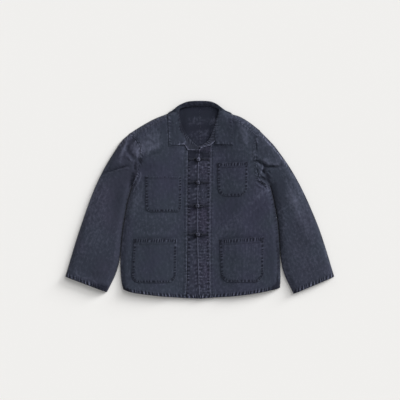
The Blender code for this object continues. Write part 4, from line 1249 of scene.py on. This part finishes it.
def stand_side(side):
    """The stand's seam and neck edge on one side, from its tip to the shoulder."""
    tip = even_cut(smooth_curve(BAND_TOP[side]), STAND_TIP_STEPS[side])[::-1]
    seam = joined(tip, stretch(NECKLINE, side, STAND_SIDE_STEPS - STAND_TIP_STEPS[side]))
    if side == "left":
        seam[0] += STAND_START
    return seam, even_cut(smooth_curve(STAND_NECK[side]), STAND_SIDE_STEPS)


def stand_lines():
    """Seam and neck edge from the right tip to the left, and 1 where they lie on the fronts."""
    right, left = stand_side("right"), stand_side("left")
    back = [stretch(STAND_BACK, kind, STAND_BACK_STEPS) for kind in ("seam", "neck")]
    seam, neck = (np.vstack([right[edge], back[edge], left[edge][::-1]]) for edge in (0, 1))
    places = np.linspace(0.0, len(STAND_BACK) - 1, STAND_BACK_STEPS + 1)
    back_front = np.interp(places, np.arange(len(STAND_BACK)), [row.front for row in STAND_BACK])
    on_front = np.ones(STAND_SIDE_STEPS + 1)
    return seam, neck, np.concatenate([on_front, back_front, on_front])


def collar_stand():
    """The ring between the neckline and the collar's roll."""
    seam, neck, front = stand_lines()
    across = np.linspace(0.0, 1.0, STAND_ACROSS_STEPS + 1)[:, None]
    plan = inset(between(seam[None], neck[None], across[..., None]))
    lap = np.where(plan[..., 0] > CENTRE_FRONT[-1].x + SEAM_GAP, lap_height(plan), 0.0)
    at_front = lay_height(plan) + BAND_PLY + SEAM_GAP + lap * front + STAND_ROLL * across
    at_back = back_height(plan) + PLY + LAID_GAP + STAND_BACK_RISE * (1 - across ** 3)
    low = between(at_back, at_front, front)
    relief, wear = sewn(plan, [Row(neck, 6, 7, 9.5, 0.5, 0.5, 0.12, 0.9, 24)])
    high = low + rounded(plan, STAND_PLY, 0.6) + relief
    wear += edge_wear(plan, [Edge(seam, 2.8, 1.9)]) * front + dye_and_painted_shading(plan, "stand")
    uv = np.stack(np.broadcast_arrays(run_lengths(seam), across * STAND_WIDTH), axis=-1)
    return shell("collar_stand_cloth", lifted(plan, high), lifted(plan, low), wear, uv)


# The collar's fall

def fall_height(places):
    """Middle of the fall: high over the stand beside its roll, and down on the front further out."""
    from_roll = smoothstep((distance_to(ROLL_LINE, places) - COLLAR_AIR_REACH) / COLLAR_AIR_FADE)
    air = between(COLLAR_AIR, COLLAR_AIR_AT_TIP, from_roll)
    return lay_height(places) + PLY + STAND_PLY / 2 + LAID_GAP + COLLAR_PLY / 2 + air


def fall_flat():
    """Plan grid of the fall before it is folded: stations along the roll, and places across it."""
    roll, outer = (smooth_curve(points_of(FALL, edge), 24) for edge in ("roll", "outer"))
    run = run_lengths(roll)
    lengths = np.linspace(0.0, run[-1], FALL_STATIONS + 1)
    across = np.linspace(0.0, 1.0, FALL_ACROSS + 1)[:, None]
    return between(cut_at(roll, lengths)[:, None], cut_at(outer, lengths, run)[:, None], across)


def fall_grid(flat):
    """Middle surface of the fall: what lies past the fold line is turned under."""
    places = flat.reshape(-1, 2)
    fold_line = side_step(smooth_curve(FOLD_LINE, 6), -FOLD_HALF_WIDTH - COLLAR_PLY / 2)
    run, past = along(fold_line, places)
    feet = cut_at(fold_line, run)
    outward = unit(places - feet) * np.sign(past)[:, None]
    low = COLLAR_REST + COLLAR_PLY / 2
    half_height = (fall_height(feet) - low) / 2
    turn_length = math.pi * np.sqrt((FOLD_HALF_WIDTH ** 2 + half_height ** 2) / 2)
    angle = np.clip(past / turn_length, 0.0, 1.0) * math.pi
    beyond = np.maximum(past - turn_length, 0.0)
    under = feet + outward * (FOLD_HALF_WIDTH * np.sin(angle) - beyond)[:, None]
    under = np.column_stack([under, low + half_height * (1 + np.cos(angle))])
    from_outer = np.tile(np.linspace(1.0, 0.0, flat.shape[1]), flat.shape[0])
    behind = smoothstep((places[:, 1] - BEHIND_NECK) / BEHIND_NECK_FADE)
    height = fall_height(places) + COLLAR_ROLL * from_outer ** 2
    height -= BACK_ROLL_DROP * behind * from_outer ** 8
    grid = np.where((past > 0)[:, None], under, np.column_stack([places, height]))
    return grid.reshape(*flat.shape[:2], 3)


def collar_fall():
    """Two leaves on the front, joined behind the neck by the part that is turned under."""
    flat = fall_flat()
    grid = fall_grid(flat)
    normal = grid_normals(grid, up=True)
    roll, outer = flat[:, 0], flat[:, -1]
    rows = [Row(outer, 7, 5, 11.5, 0.4, 0.4, 0.1, 0.4, 25), Row(roll, 6, 6, 13, 0.2, 0.3, 0.03, 0.25, 26)]
    rows += [Row(end, 6, 5, 12, 0.4, 0.4, 0.14, 0.3, 27) for end in (flat[0], flat[-1])]
    relief, wear = sewn(flat, rows)
    wear += edge_wear(flat, [Edge(roll, 3.0, 0.08)]) + dye_and_painted_shading(flat, "fall")
    thin = rounded(flat, COLLAR_PLY, 0.6)
    on_top = grid[..., 2] > FALL_LOW_SIDE
    grid[..., 2] -= np.where(on_top, (COLLAR_PLY - thin) / 2, 0.0)
    outside = grid + normal * (thin / 2 + np.where(on_top, relief, 0.0))[..., None]
    inside = grid - normal * (thin / 2)[..., None]
    return shell("collar_fall_cloth", outside, inside, wear, grain(flat))


# Materials

def rgb(red, green, blue):
    """A colour given as seen on a screen, from 0 to 255, as a linear one."""
    channels = []
    for value in (red, green, blue):
        share = value / 255
        channels.append(share / 12.92 if share <= 0.04045 else ((share + 0.055) / 1.055) ** 2.4)
    return (*channels, 1.0)


def new_group(name, kind, inputs, outputs):
    """A node group, with the sockets that give its inputs and take its outputs."""
    tree = bpy.data.node_groups.new(name, kind)
    for label, sort, value in inputs:
        socket = tree.interface.new_socket(label, in_out="INPUT", socket_type="NodeSocket" + sort)
        if value is not None:
            socket.default_value = value
    for label, sort in outputs:
        tree.interface.new_socket(label, in_out="OUTPUT", socket_type="NodeSocket" + sort)
    return tree, tree.nodes.new("NodeGroupInput").outputs, tree.nodes.new("NodeGroupOutput").inputs


def fill(tree, node, given):
    """Set a node's inputs to values, or link them to the outputs of other nodes."""
    for label, value in given.items():
        if isinstance(value, bpy.types.NodeSocket):
            tree.links.new(value, node.inputs[label])
        else:
            node.inputs[label].default_value = value


def add_node(tree, kind, given, **settings):
    """The outputs of a new node."""
    node = tree.nodes.new(kind)
    for label, value in settings.items():
        setattr(node, label, value)
    fill(tree, node, given)
    return node.outputs


def maths(tree, operation, first, second, clamp=False):
    return add_node(tree, "ShaderNodeMath", {0: first, 1: second}, operation=operation, use_clamp=clamp)[0]


def mixed(tree, share, first, second):
    given = {"Factor": share, "A": first, "B": second}
    return add_node(tree, "ShaderNodeMix", given, data_type="RGBA")["Result"]


def cloth_places(tree):
    return add_node(tree, "ShaderNodeUVMap", {}, uv_map="cloth")[0]


def drawn(tree, place, size):
    """The place with each axis multiplied."""
    return add_node(tree, "ShaderNodeMapping", {"Vector": place, "Scale": size})[0]


def noise(tree, place, scale, detail=2.0, roughness=0.5):
    given = {"Vector": place, "Scale": scale, "Detail": detail, "Roughness": roughness}
    return add_node(tree, "ShaderNodeTexNoise", given)[0]


def twill_group():
    """Diagonal twill, uneven yarns and fine crinkle, from the cloth's own coordinates."""
    outputs = (("Height", "Float"), ("Yarn", "Float"))
    tree, _, result = new_group("denim_twill", "ShaderNodeTree", (), outputs)
    place = cloth_places(tree)
    lean = add_node(tree, "ShaderNodeMapping", {"Vector": place, "Rotation": (0, 0, math.radians(28))})[0]
    given = {"Vector": lean, "Scale": 260.0, "Distortion": 1.2, "Detail Scale": 3.0}
    twill = add_node(tree, "ShaderNodeTexWave", given)[1]
    sizes = ((900.0, 30.0, 1.0), (420.0, 13.0, 1.0))
    yarns = [noise(tree, drawn(tree, place, size), 1.0) for size in sizes]
    speckle = maths(tree, "MULTIPLY", noise(tree, place, 330.0, 3.0), 0.35)
    yarn = maths(tree, "ADD", maths(tree, "MULTIPLY", maths(tree, "ADD", *yarns), 0.5), speckle)
    tree.links.new(yarn, result["Yarn"])
    tree.links.new(maths(tree, "ADD", maths(tree, "MULTIPLY", twill, 0.35), yarn), result["Height"])
    return tree


def dye_group():
    """Indigo made paler or darker by a shift that holds the rubbing of the cloth as well as painted shade
    and painted light, with drifts of blue and purple.
    """
    inputs = (("Dark", "Color", rgb(30, 33, 44)), ("Cloth", "Color", rgb(60, 64, 78)),
              ("Pale", "Color", rgb(150, 154, 172)), ("Tint", "Color", rgb(66, 62, 82)),
              ("Wear", "Float", 0.0), ("Yarn", "Float", 0.5), ("Yarn strength", "Float", 0.35))
    tree, given, result = new_group("indigo_dye", "ShaderNodeTree", inputs, (("Color", "Color"),))
    drift = noise(tree, add_node(tree, "ShaderNodeTexCoord", {})["Object"], 7.0, 3.0)
    share = add_node(tree, "ShaderNodeMapRange", {"Value": drift, "From Min": 0.42, "From Max": 0.66})[0]
    tinted = mixed(tree, share, given["Cloth"], given["Tint"])
    mottle = noise(tree, drawn(tree, cloth_places(tree), (112.0, 80.0, 1.0)), 1.0, 6.0, 0.62)
    patchy = maths(tree, "MULTIPLY", maths(tree, "SUBTRACT", mottle, 0.5), 0.85)
    yarn = maths(tree, "MULTIPLY", maths(tree, "SUBTRACT", given["Yarn"], 0.67), given["Yarn strength"])
    level = maths(tree, "ADD", maths(tree, "ADD", given["Wear"], yarn), patchy)
    above = maths(tree, "MAXIMUM", level, 0.0, clamp=True)
    below = maths(tree, "MAXIMUM", maths(tree, "MULTIPLY", level, -1.0), 0.0, clamp=True)
    paler = mixed(tree, above, tinted, given["Pale"])
    tree.links.new(mixed(tree, below, paler, given["Dark"]), result["Color"])
    return tree


TWILL = twill_group()
DYE = dye_group()
DARK = rgb(20, 23, 36)
PALE = rgb(107, 110, 131)


def new_material(name, roughness, shine):
    """A material, its node tree and its shader."""
    material = bpy.data.materials.new(name)
    material.use_nodes = True
    tree = material.node_tree
    shader = tree.nodes["Principled BSDF"]
    fill(tree, shader, {"Roughness": roughness, "Specular IOR Level": shine})
    return material, tree, shader


def denim(name, cloth, tint, yarn_strength=0.5, bump=0.35):
    material, tree, shader = new_material(name, 0.92, 0.18)
    # this attribute carries the cloth's rubbed paleness together with painted shade and painted light
    worn_and_painted_shading = add_node(tree, "ShaderNodeAttribute", {}, attribute_name="wear")["Fac"]
    weave = add_node(tree, "ShaderNodeGroup", {}, node_tree=TWILL)
    given = {"Dark": DARK, "Cloth": rgb(*cloth), "Pale": PALE, "Tint": rgb(*tint),
             "Wear": worn_and_painted_shading, "Yarn": weave["Yarn"], "Yarn strength": yarn_strength}
    colour = add_node(tree, "ShaderNodeGroup", given, node_tree=DYE)["Color"]
    given = {"Height": weave["Height"], "Strength": bump, "Distance": 0.0006}
    relief = add_node(tree, "ShaderNodeBump", given)["Normal"]
    sheen = {"Sheen Weight": 0.12, "Sheen Roughness": 0.5}
    fill(tree, shader, {"Base Color": colour, "Normal": relief, **sheen})
    return material


OUTER_DENIM = denim("washed_denim", (44, 49.8, 62), (47, 49, 66))
SLEEVE_DENIM = {
    "right": denim("washed_denim_right_sleeve", (44.7, 49, 62), (48, 49, 64)),
    "left": denim("washed_denim_left_sleeve", (44, 49.5, 62), (46.5, 49.5, 63.5)),
}
STAND_DENIM = denim("stand_denim", (44, 48, 60), (45, 47, 60), bump=0.45)
BAND_DENIM = denim("doubled_denim", (42, 45, 59), (46, 44, 61), 0.7, 0.45)
# The inside cloth is darker than the outside: partly its own colour, partly painted shade for the inside of
# the neck
INSIDE_DENIM = denim("inside_denim", (31, 35, 48), (33, 35, 50), 0.4)
CORD_DENIM = denim("frog_cord", (41, 44, 57), (43, 42, 57))
THREAD = denim("sewing_thread", (48, 52, 65), (50, 51, 65), 0.3, 0.2)


# Stitches

def stitch_tree():
    """Geometry Nodes: a row of arched stitches along each seam line."""
    inputs = (("Seam lines", "Geometry", None), ("Stitch pitch", "Float", 0.0031),
              ("Stitch length", "Float", 0.0026), ("Stitch rise", "Float", 0.0006),
              ("Thread radius", "Float", 0.00032), ("Thread", "Material", None))
    tree, given, result = new_group("stitch_row", "GeometryNodeTree", inputs, (("Stitches", "Geometry"),))
    tree.is_modifier = True
    half = [maths(tree, "MULTIPLY", given["Stitch length"], share) for share in (-0.5, 0.5)]
    start, end = (add_node(tree, "ShaderNodeCombineXYZ", {"X": length})[0] for length in half)
    middle = add_node(tree, "ShaderNodeCombineXYZ", {"Z": given["Stitch rise"]})[0]
    ends = {"Resolution": 3, "Start": start, "Middle": middle, "End": end}
    arch = add_node(tree, "GeometryNodeCurveQuadraticBezier", ends)[0]
    size = {"Resolution": 5, "Radius": given["Thread radius"]}
    ring = add_node(tree, "GeometryNodeCurvePrimitiveCircle", size)[0]
    drawn_along = {"Curve": arch, "Profile Curve": ring, "Fill Caps": True}
    stitch = add_node(tree, "GeometryNodeCurveToMesh", drawn_along)[0]
    seam = add_node(tree, "GeometryNodeMeshToCurve", {0: given["Seam lines"]})[0]
    spaced = {"Curve": seam, "Length": given["Stitch pitch"]}
    points = add_node(tree, "GeometryNodeCurveToPoints", spaced, mode="LENGTH")
    way = {"Vector": points["Tangent"]}
    turn = add_node(tree, "FunctionNodeAlignRotationToVector", way, axis="X", pivot_axis="Z")[0]
    placed = {"Points": points["Points"], "Instance": stitch, "Rotation": turn}
    row = add_node(tree, "GeometryNodeInstanceOnPoints", placed)[0]
    solid = add_node(tree, "GeometryNodeRealizeInstances", {0: row})[0]
    threaded = {"Geometry": solid, "Material": given["Thread"]}
    painted = add_node(tree, "GeometryNodeSetMaterial", threaded)[0]
    tree.links.new(painted, result["Stitches"])
    return tree


STITCHES = stitch_tree()


def sew(name, lines, top):
    """Stitches along plan lines, on the surface whose height top gives, as one plain mesh."""
    points, edges = [], []
    for line in lines:
        line = even_cut(line, max(int(run_lengths(line)[-1] / STITCH_LINE_STEP), 2))
        edges += [(len(points) + step, len(points) + step + 1) for step in range(len(line) - 1)]
        points += (np.column_stack([line, top(line) + STITCH_LIFT]) * METRES).tolist()
    mesh = bpy.data.meshes.new(name + "_lines")
    mesh.from_pydata(points, edges, [])
    guide = link(name + "_lines", mesh)
    modifier = guide.modifiers.new("Stitches", "NODES")
    modifier.node_group = STITCHES
    for item in STITCHES.interface.items_tree:
        if item.name == "Thread":
            modifier[item.identifier] = THREAD
    graph = bpy.context.evaluated_depsgraph_get()
    sewn_mesh = bpy.data.meshes.new_from_object(guide.evaluated_get(graph))
    sewn_mesh.name = name
    thing = link(name, sewn_mesh)
    bpy.data.objects.remove(guide, do_unlink=True)
    return thing


def panel_stitches(piece, side):
    lines = [side_step(LINES[side][line], LEAN[side] * distance) for line, distance in STITCH_ROWS[piece]]
    if (piece, side) == ("band", "left"):
        lines.append(side_step(FRONT_LINE[:-2], -3.5))
    return sew("stitches_%s_%s" % (piece, side), lines, partial(top_height, piece, side))


def pocket_stitches(row):
    sides, mouth = pocket_lines(row)
    path = even_cut(sides, 240)
    hem = side_step(even_cut(mouth, 40)[2:-2], 2.0 - row.hem_depth)
    lines = [side_step(path, 2.6), side_step(path, 7.6)[4:-4], hem]
    return sew("stitches_" + row.name, lines, partial(pocket_top, row))


# Knots and their cords

def cord_mesh(points, radius, cyclic=False, sides=CORD_SIDES, flat=1.0):
    """Points, faces and cloth coordinates of a closed cord; flat is its height over its width."""
    if cyclic:
        way = unit(np.roll(points, -1, axis=0) - np.roll(points, 1, axis=0))
    else:
        way = unit(np.gradient(points, axis=0))
    across = np.zeros_like(way)
    across[0] = np.cross(way[0], (1.0, 0.0, 0.0) if abs(way[0, 2]) > 0.98 else (0.0, 0.0, 1.0))
    for step in range(1, len(way)):
        across[step] = across[step - 1] - way[step] * (across[step - 1] @ way[step])
    across = unit(across)
    upward = np.cross(across, way)
    turn = np.linspace(0, 2 * math.pi, sides, endpoint=False)
    ring = np.cos(turn)[:, None] * across[:, None] + flat * np.sin(turn)[:, None] * upward[:, None]
    radii = np.broadcast_to(radius, (len(points),))
    places = (points[:, None] + ring * radii[:, None, None]).reshape(-1, 3)
    index = np.arange(len(places)).reshape(len(points), sides)
    index = np.column_stack([index, index[:, :1]])
    faces = grid_faces(np.vstack([index, index[:1]]) if cyclic else index, flip=True)
    uv = np.stack(np.broadcast_arrays(turn * CORD_RADIUS, run_lengths(points)[:, None]), axis=-1)
    uv = uv.reshape(-1, 2)
    if cyclic:
        return places, faces, uv
    for end, corners, outward in ((0, index[0], -0.5), (-1, index[-1, ::-1], 0.5)):
        faces += [[len(places), int(first), int(second)] for first, second in zip(corners, corners[1:])]
        places = np.vstack([places, points[end] + way[end] * radii[end] * outward])
        uv = np.vstack([uv, uv[corners[0]]])
    return places, faces, uv


def join_cords(name, cords, wear_and_painted_shading_values):
    """One mesh of several cords, each paler or darker by its own amount."""
    faces, worn_and_painted_shading, total = [], [], 0
    for number, ((places, cord_faces, _), wear) in enumerate(zip(cords, wear_and_painted_shading_values)):
        faces += [[corner + total for corner in face] for face in cord_faces]
        worn_and_painted_shading.append(wear + 0.4 * waves(places[:, :2], (5, 11), 71 + number, 4))
        total += len(places)
    points, uv = (np.vstack([cord[part] for cord in cords]) for part in (0, 2))
    return flat_mesh(name, points, faces, np.concatenate(worn_and_painted_shading), uv)


def turk_head(centre):
    """A woven ball: one cord that passes over and under itself round a globe."""
    turn = np.linspace(0, 2 * math.pi, 150, endpoint=False)
    height = 0.92 * np.sin(KNOT_BIGHTS * turn)
    level = np.sqrt(1 - (0.9 * height) ** 2)
    globe = np.column_stack([level * np.cos(KNOT_LEADS * turn), level * np.sin(KNOT_LEADS * turn),
                             height * KNOT_SQUASH])
    weave = 1.0 + KNOT_WEAVE * np.cos(2 * KNOT_BIGHTS * turn + 0.5)
    return centre + (KNOT_RADIUS - CORD_RADIUS * 0.85) * weave[:, None] * globe


def frog_knot(number, row):
    """The woven ball, round a core made dark as painted shade inside the knot."""
    rest = top_height("band", "left", np.array([[row.knot_x, row.knot_y]], float))[0]
    centre = np.array([row.knot_x, row.knot_y, rest + KNOT_RADIUS * KNOT_RISE])
    ball = cord_mesh(turk_head(centre), CORD_RADIUS, cyclic=True, sides=KNOT_SIDES)
    core = cord_mesh(centre + np.array([(0, 0, -3.0), (0, 0, 0), (0, 0, 3.0)]), (2.6, 4.0, 2.6))
    return join_cords("knot_%d_cord" % number, [ball, core], [row.wear, KNOT_CORE_PAINTED_SHADE])


def frog_strap(number, row, side):
    """A doubled cord sewn on the band, with the loop on the left, and the knot's tail on the right."""
    lean = -LEAN[side]
    end = getattr(row, side + "_end")
    tip = row.knot_x + lean * (KNOT_RADIUS + 1.5)

    def sewn_down(x, y, rise, radius=CORD_RADIUS, flat=CORD_FLATNESS):
        plan = np.column_stack([x, row.knot_y + y])
        height = top_height("band", side, plan) + CORD_RADIUS * CORD_FLATNESS + rise
        return cord_mesh(np.column_stack([plan, height]), radius, flat=flat)

    share = np.linspace(0, 1, 26)
    spread = CORD_HALF_PITCH + 1.5 * bell((share - 0.86) / 0.16)
    rise = 1.3 * smoothstep((share - 0.6) / 0.4) - CORD_SINK
    cords = [sewn_down(between(end, tip, share), offset * spread, rise) for offset in (-1, 1)]
    turn = np.linspace(0.5 * math.pi, 1.5 * math.pi, 12)
    bend = end + lean * CORD_RADIUS * np.cos(turn)
    cords.append(sewn_down(bend, CORD_HALF_PITCH * np.sin(turn), -CORD_SINK))
    if side == "left":
        turn = np.linspace(-0.72 * math.pi, 0.72 * math.pi, 30)
        reach = KNOT_RADIUS * 0.9 + CORD_RADIUS * 0.6
        loop_x = row.knot_x - reach * np.cos(turn)
        cords.append(sewn_down(loop_x, reach * np.sin(turn), 0.9, CORD_RADIUS * 0.9, 1.0))
    else:
        share = np.linspace(0, 1, 8)
        plan = np.column_stack([between(tip, row.knot_x, share), np.full(8, float(row.knot_y))])
        tops = [top_height("band", "right", plan), top_height("band", "left", plan) * share]
        height = np.max(tops, axis=0) + CORD_RADIUS + 0.8
        cords.append(cord_mesh(np.column_stack([plan, height]), CORD_RADIUS))
    return join_cords("strap_%s_%d_cord" % (side, number), cords, [STRAP_WEAR] * len(cords))


# The jacket

def paint(thing, *materials):
    """Give the mesh its materials, and leave each face in the slot it is already in."""
    slots = [polygon.material_index for polygon in thing.data.polygons]
    thing.data.materials.clear()
    for material in materials:
        thing.data.materials.append(material)
    thing.data.polygons.foreach_set("material_index", slots)


def cloth_piece(thing, node, material):
    """Finish one cloth piece: its material and its place in the frame, and hide the node that it stands
    for.
    """
    paint(thing, material, INSIDE_DENIM)
    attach(thing, "root")
    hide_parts(node)


def trim_piece(thing, material, nodes=()):
    """Finish stitches, or the cords that stand for the given nodes."""
    paint(thing, material)
    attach(thing, "root")
    if nodes:
        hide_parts(*nodes)


def stitched_piece(thing, stitches, node, material):
    trim_piece(stitches, THREAD)
    cloth_piece(thing, node, material)


def build_jacket():
    backs = {side: back_panel(side) for side in SIDES}
    for side in SIDES:
        materials = {"front": OUTER_DENIM, "sleeve": SLEEVE_DENIM[side], "band": BAND_DENIM}
        cloth_piece(backs[side], "back_" + side, OUTER_DENIM)
        cloth_piece(sleeve_under(side), "sleeve_under_" + side, SLEEVE_DENIM[side])
        for piece, row in PANELS.items():
            stitches = panel_stitches(piece, side)
            stitched_piece(panel(piece, side), stitches, row.name % side, materials[piece])
    cloth_piece(collar_stand(), "collar_stand", STAND_DENIM)
    cloth_piece(collar_fall(), "collar_fall", OUTER_DENIM)
    for row in POCKETS:
        stitches = pocket_stitches(row)
        stitched_piece(pocket(row), stitches, row.name, OUTER_DENIM)
    for number, row in enumerate(FROGS, start=1):
        trim_piece(frog_knot(number, row), CORD_DENIM, ["frog_knot_%d" % number])
        for side in SIDES:
            strap = frog_strap(number, row, side)
            trim_piece(strap, CORD_DENIM, ["frog_strap_%s_%d" % (side, number)])


# The set, in metres

FLOOR_REACH = 6.0
FLOOR_DROP = 0.0002        # keeps the floor clear of the cloth that lies on it
SKY_STRENGTH = 0.43
FRAME_WIDTH = 1.488        # width of the picture at the camera's aim
AIM = (-0.0011, 0.006)     # where the camera aims, along Y and Z


def floor():
    mesh = bpy.data.meshes.new("surface")
    corners = [(-FLOOR_REACH, -FLOOR_REACH), (FLOOR_REACH, -FLOOR_REACH), (FLOOR_REACH, FLOOR_REACH),
               (-FLOOR_REACH, FLOOR_REACH)]
    mesh.from_pydata([(x, y, -FLOOR_DROP) for x, y in corners], [], [(0, 1, 2, 3)])
    material, tree, shader = new_material("pale_floor", 0.9, 0.1)
    drift = noise(tree, add_node(tree, "ShaderNodeTexCoord", {})["Object"], 3.0)
    fill(tree, shader, {"Base Color": mixed(tree, drift, rgb(240, 239, 237), rgb(241, 240, 238))})
    mesh.materials.append(material)
    link("surface", mesh)


# Soft lamps: name, strength, spread, height above the floor and bearing from X, in degrees
SUNS = (("key", 1.9, 40, 32, 42), ("low_side", 3.0, 18, 15, 34))


def lights():
    world = bpy.data.worlds.new("studio")
    bpy.context.scene.world = world
    world.use_nodes = True
    sky = world.node_tree.nodes["Background"]
    fill(world.node_tree, sky, {"Color": (1.0, 1.0, 1.0, 1.0), "Strength": SKY_STRENGTH})
    for name, energy, spread, elevation, azimuth in SUNS:
        sun = bpy.data.lights.new(name, "SUN")
        sun.energy = energy
        sun.angle = math.radians(spread)
        link(name, sun).rotation_euler = (math.radians(90 - elevation), 0.0, math.radians(azimuth + 90))


def camera():
    """Straight above."""
    data = bpy.data.cameras.new("camera")
    data.lens = 85.0
    data.sensor_width = 36.0
    data.sensor_fit = "HORIZONTAL"
    data.clip_end = 50.0
    thing = link("camera", data)
    thing.location = (0.0, AIM[0], FRAME_WIDTH * data.lens / data.sensor_width + AIM[1])
    bpy.context.scene.camera = thing


build_jacket()
floor()
lights()
camera()
bpy.context.scene.view_settings.view_transform = "Standard"
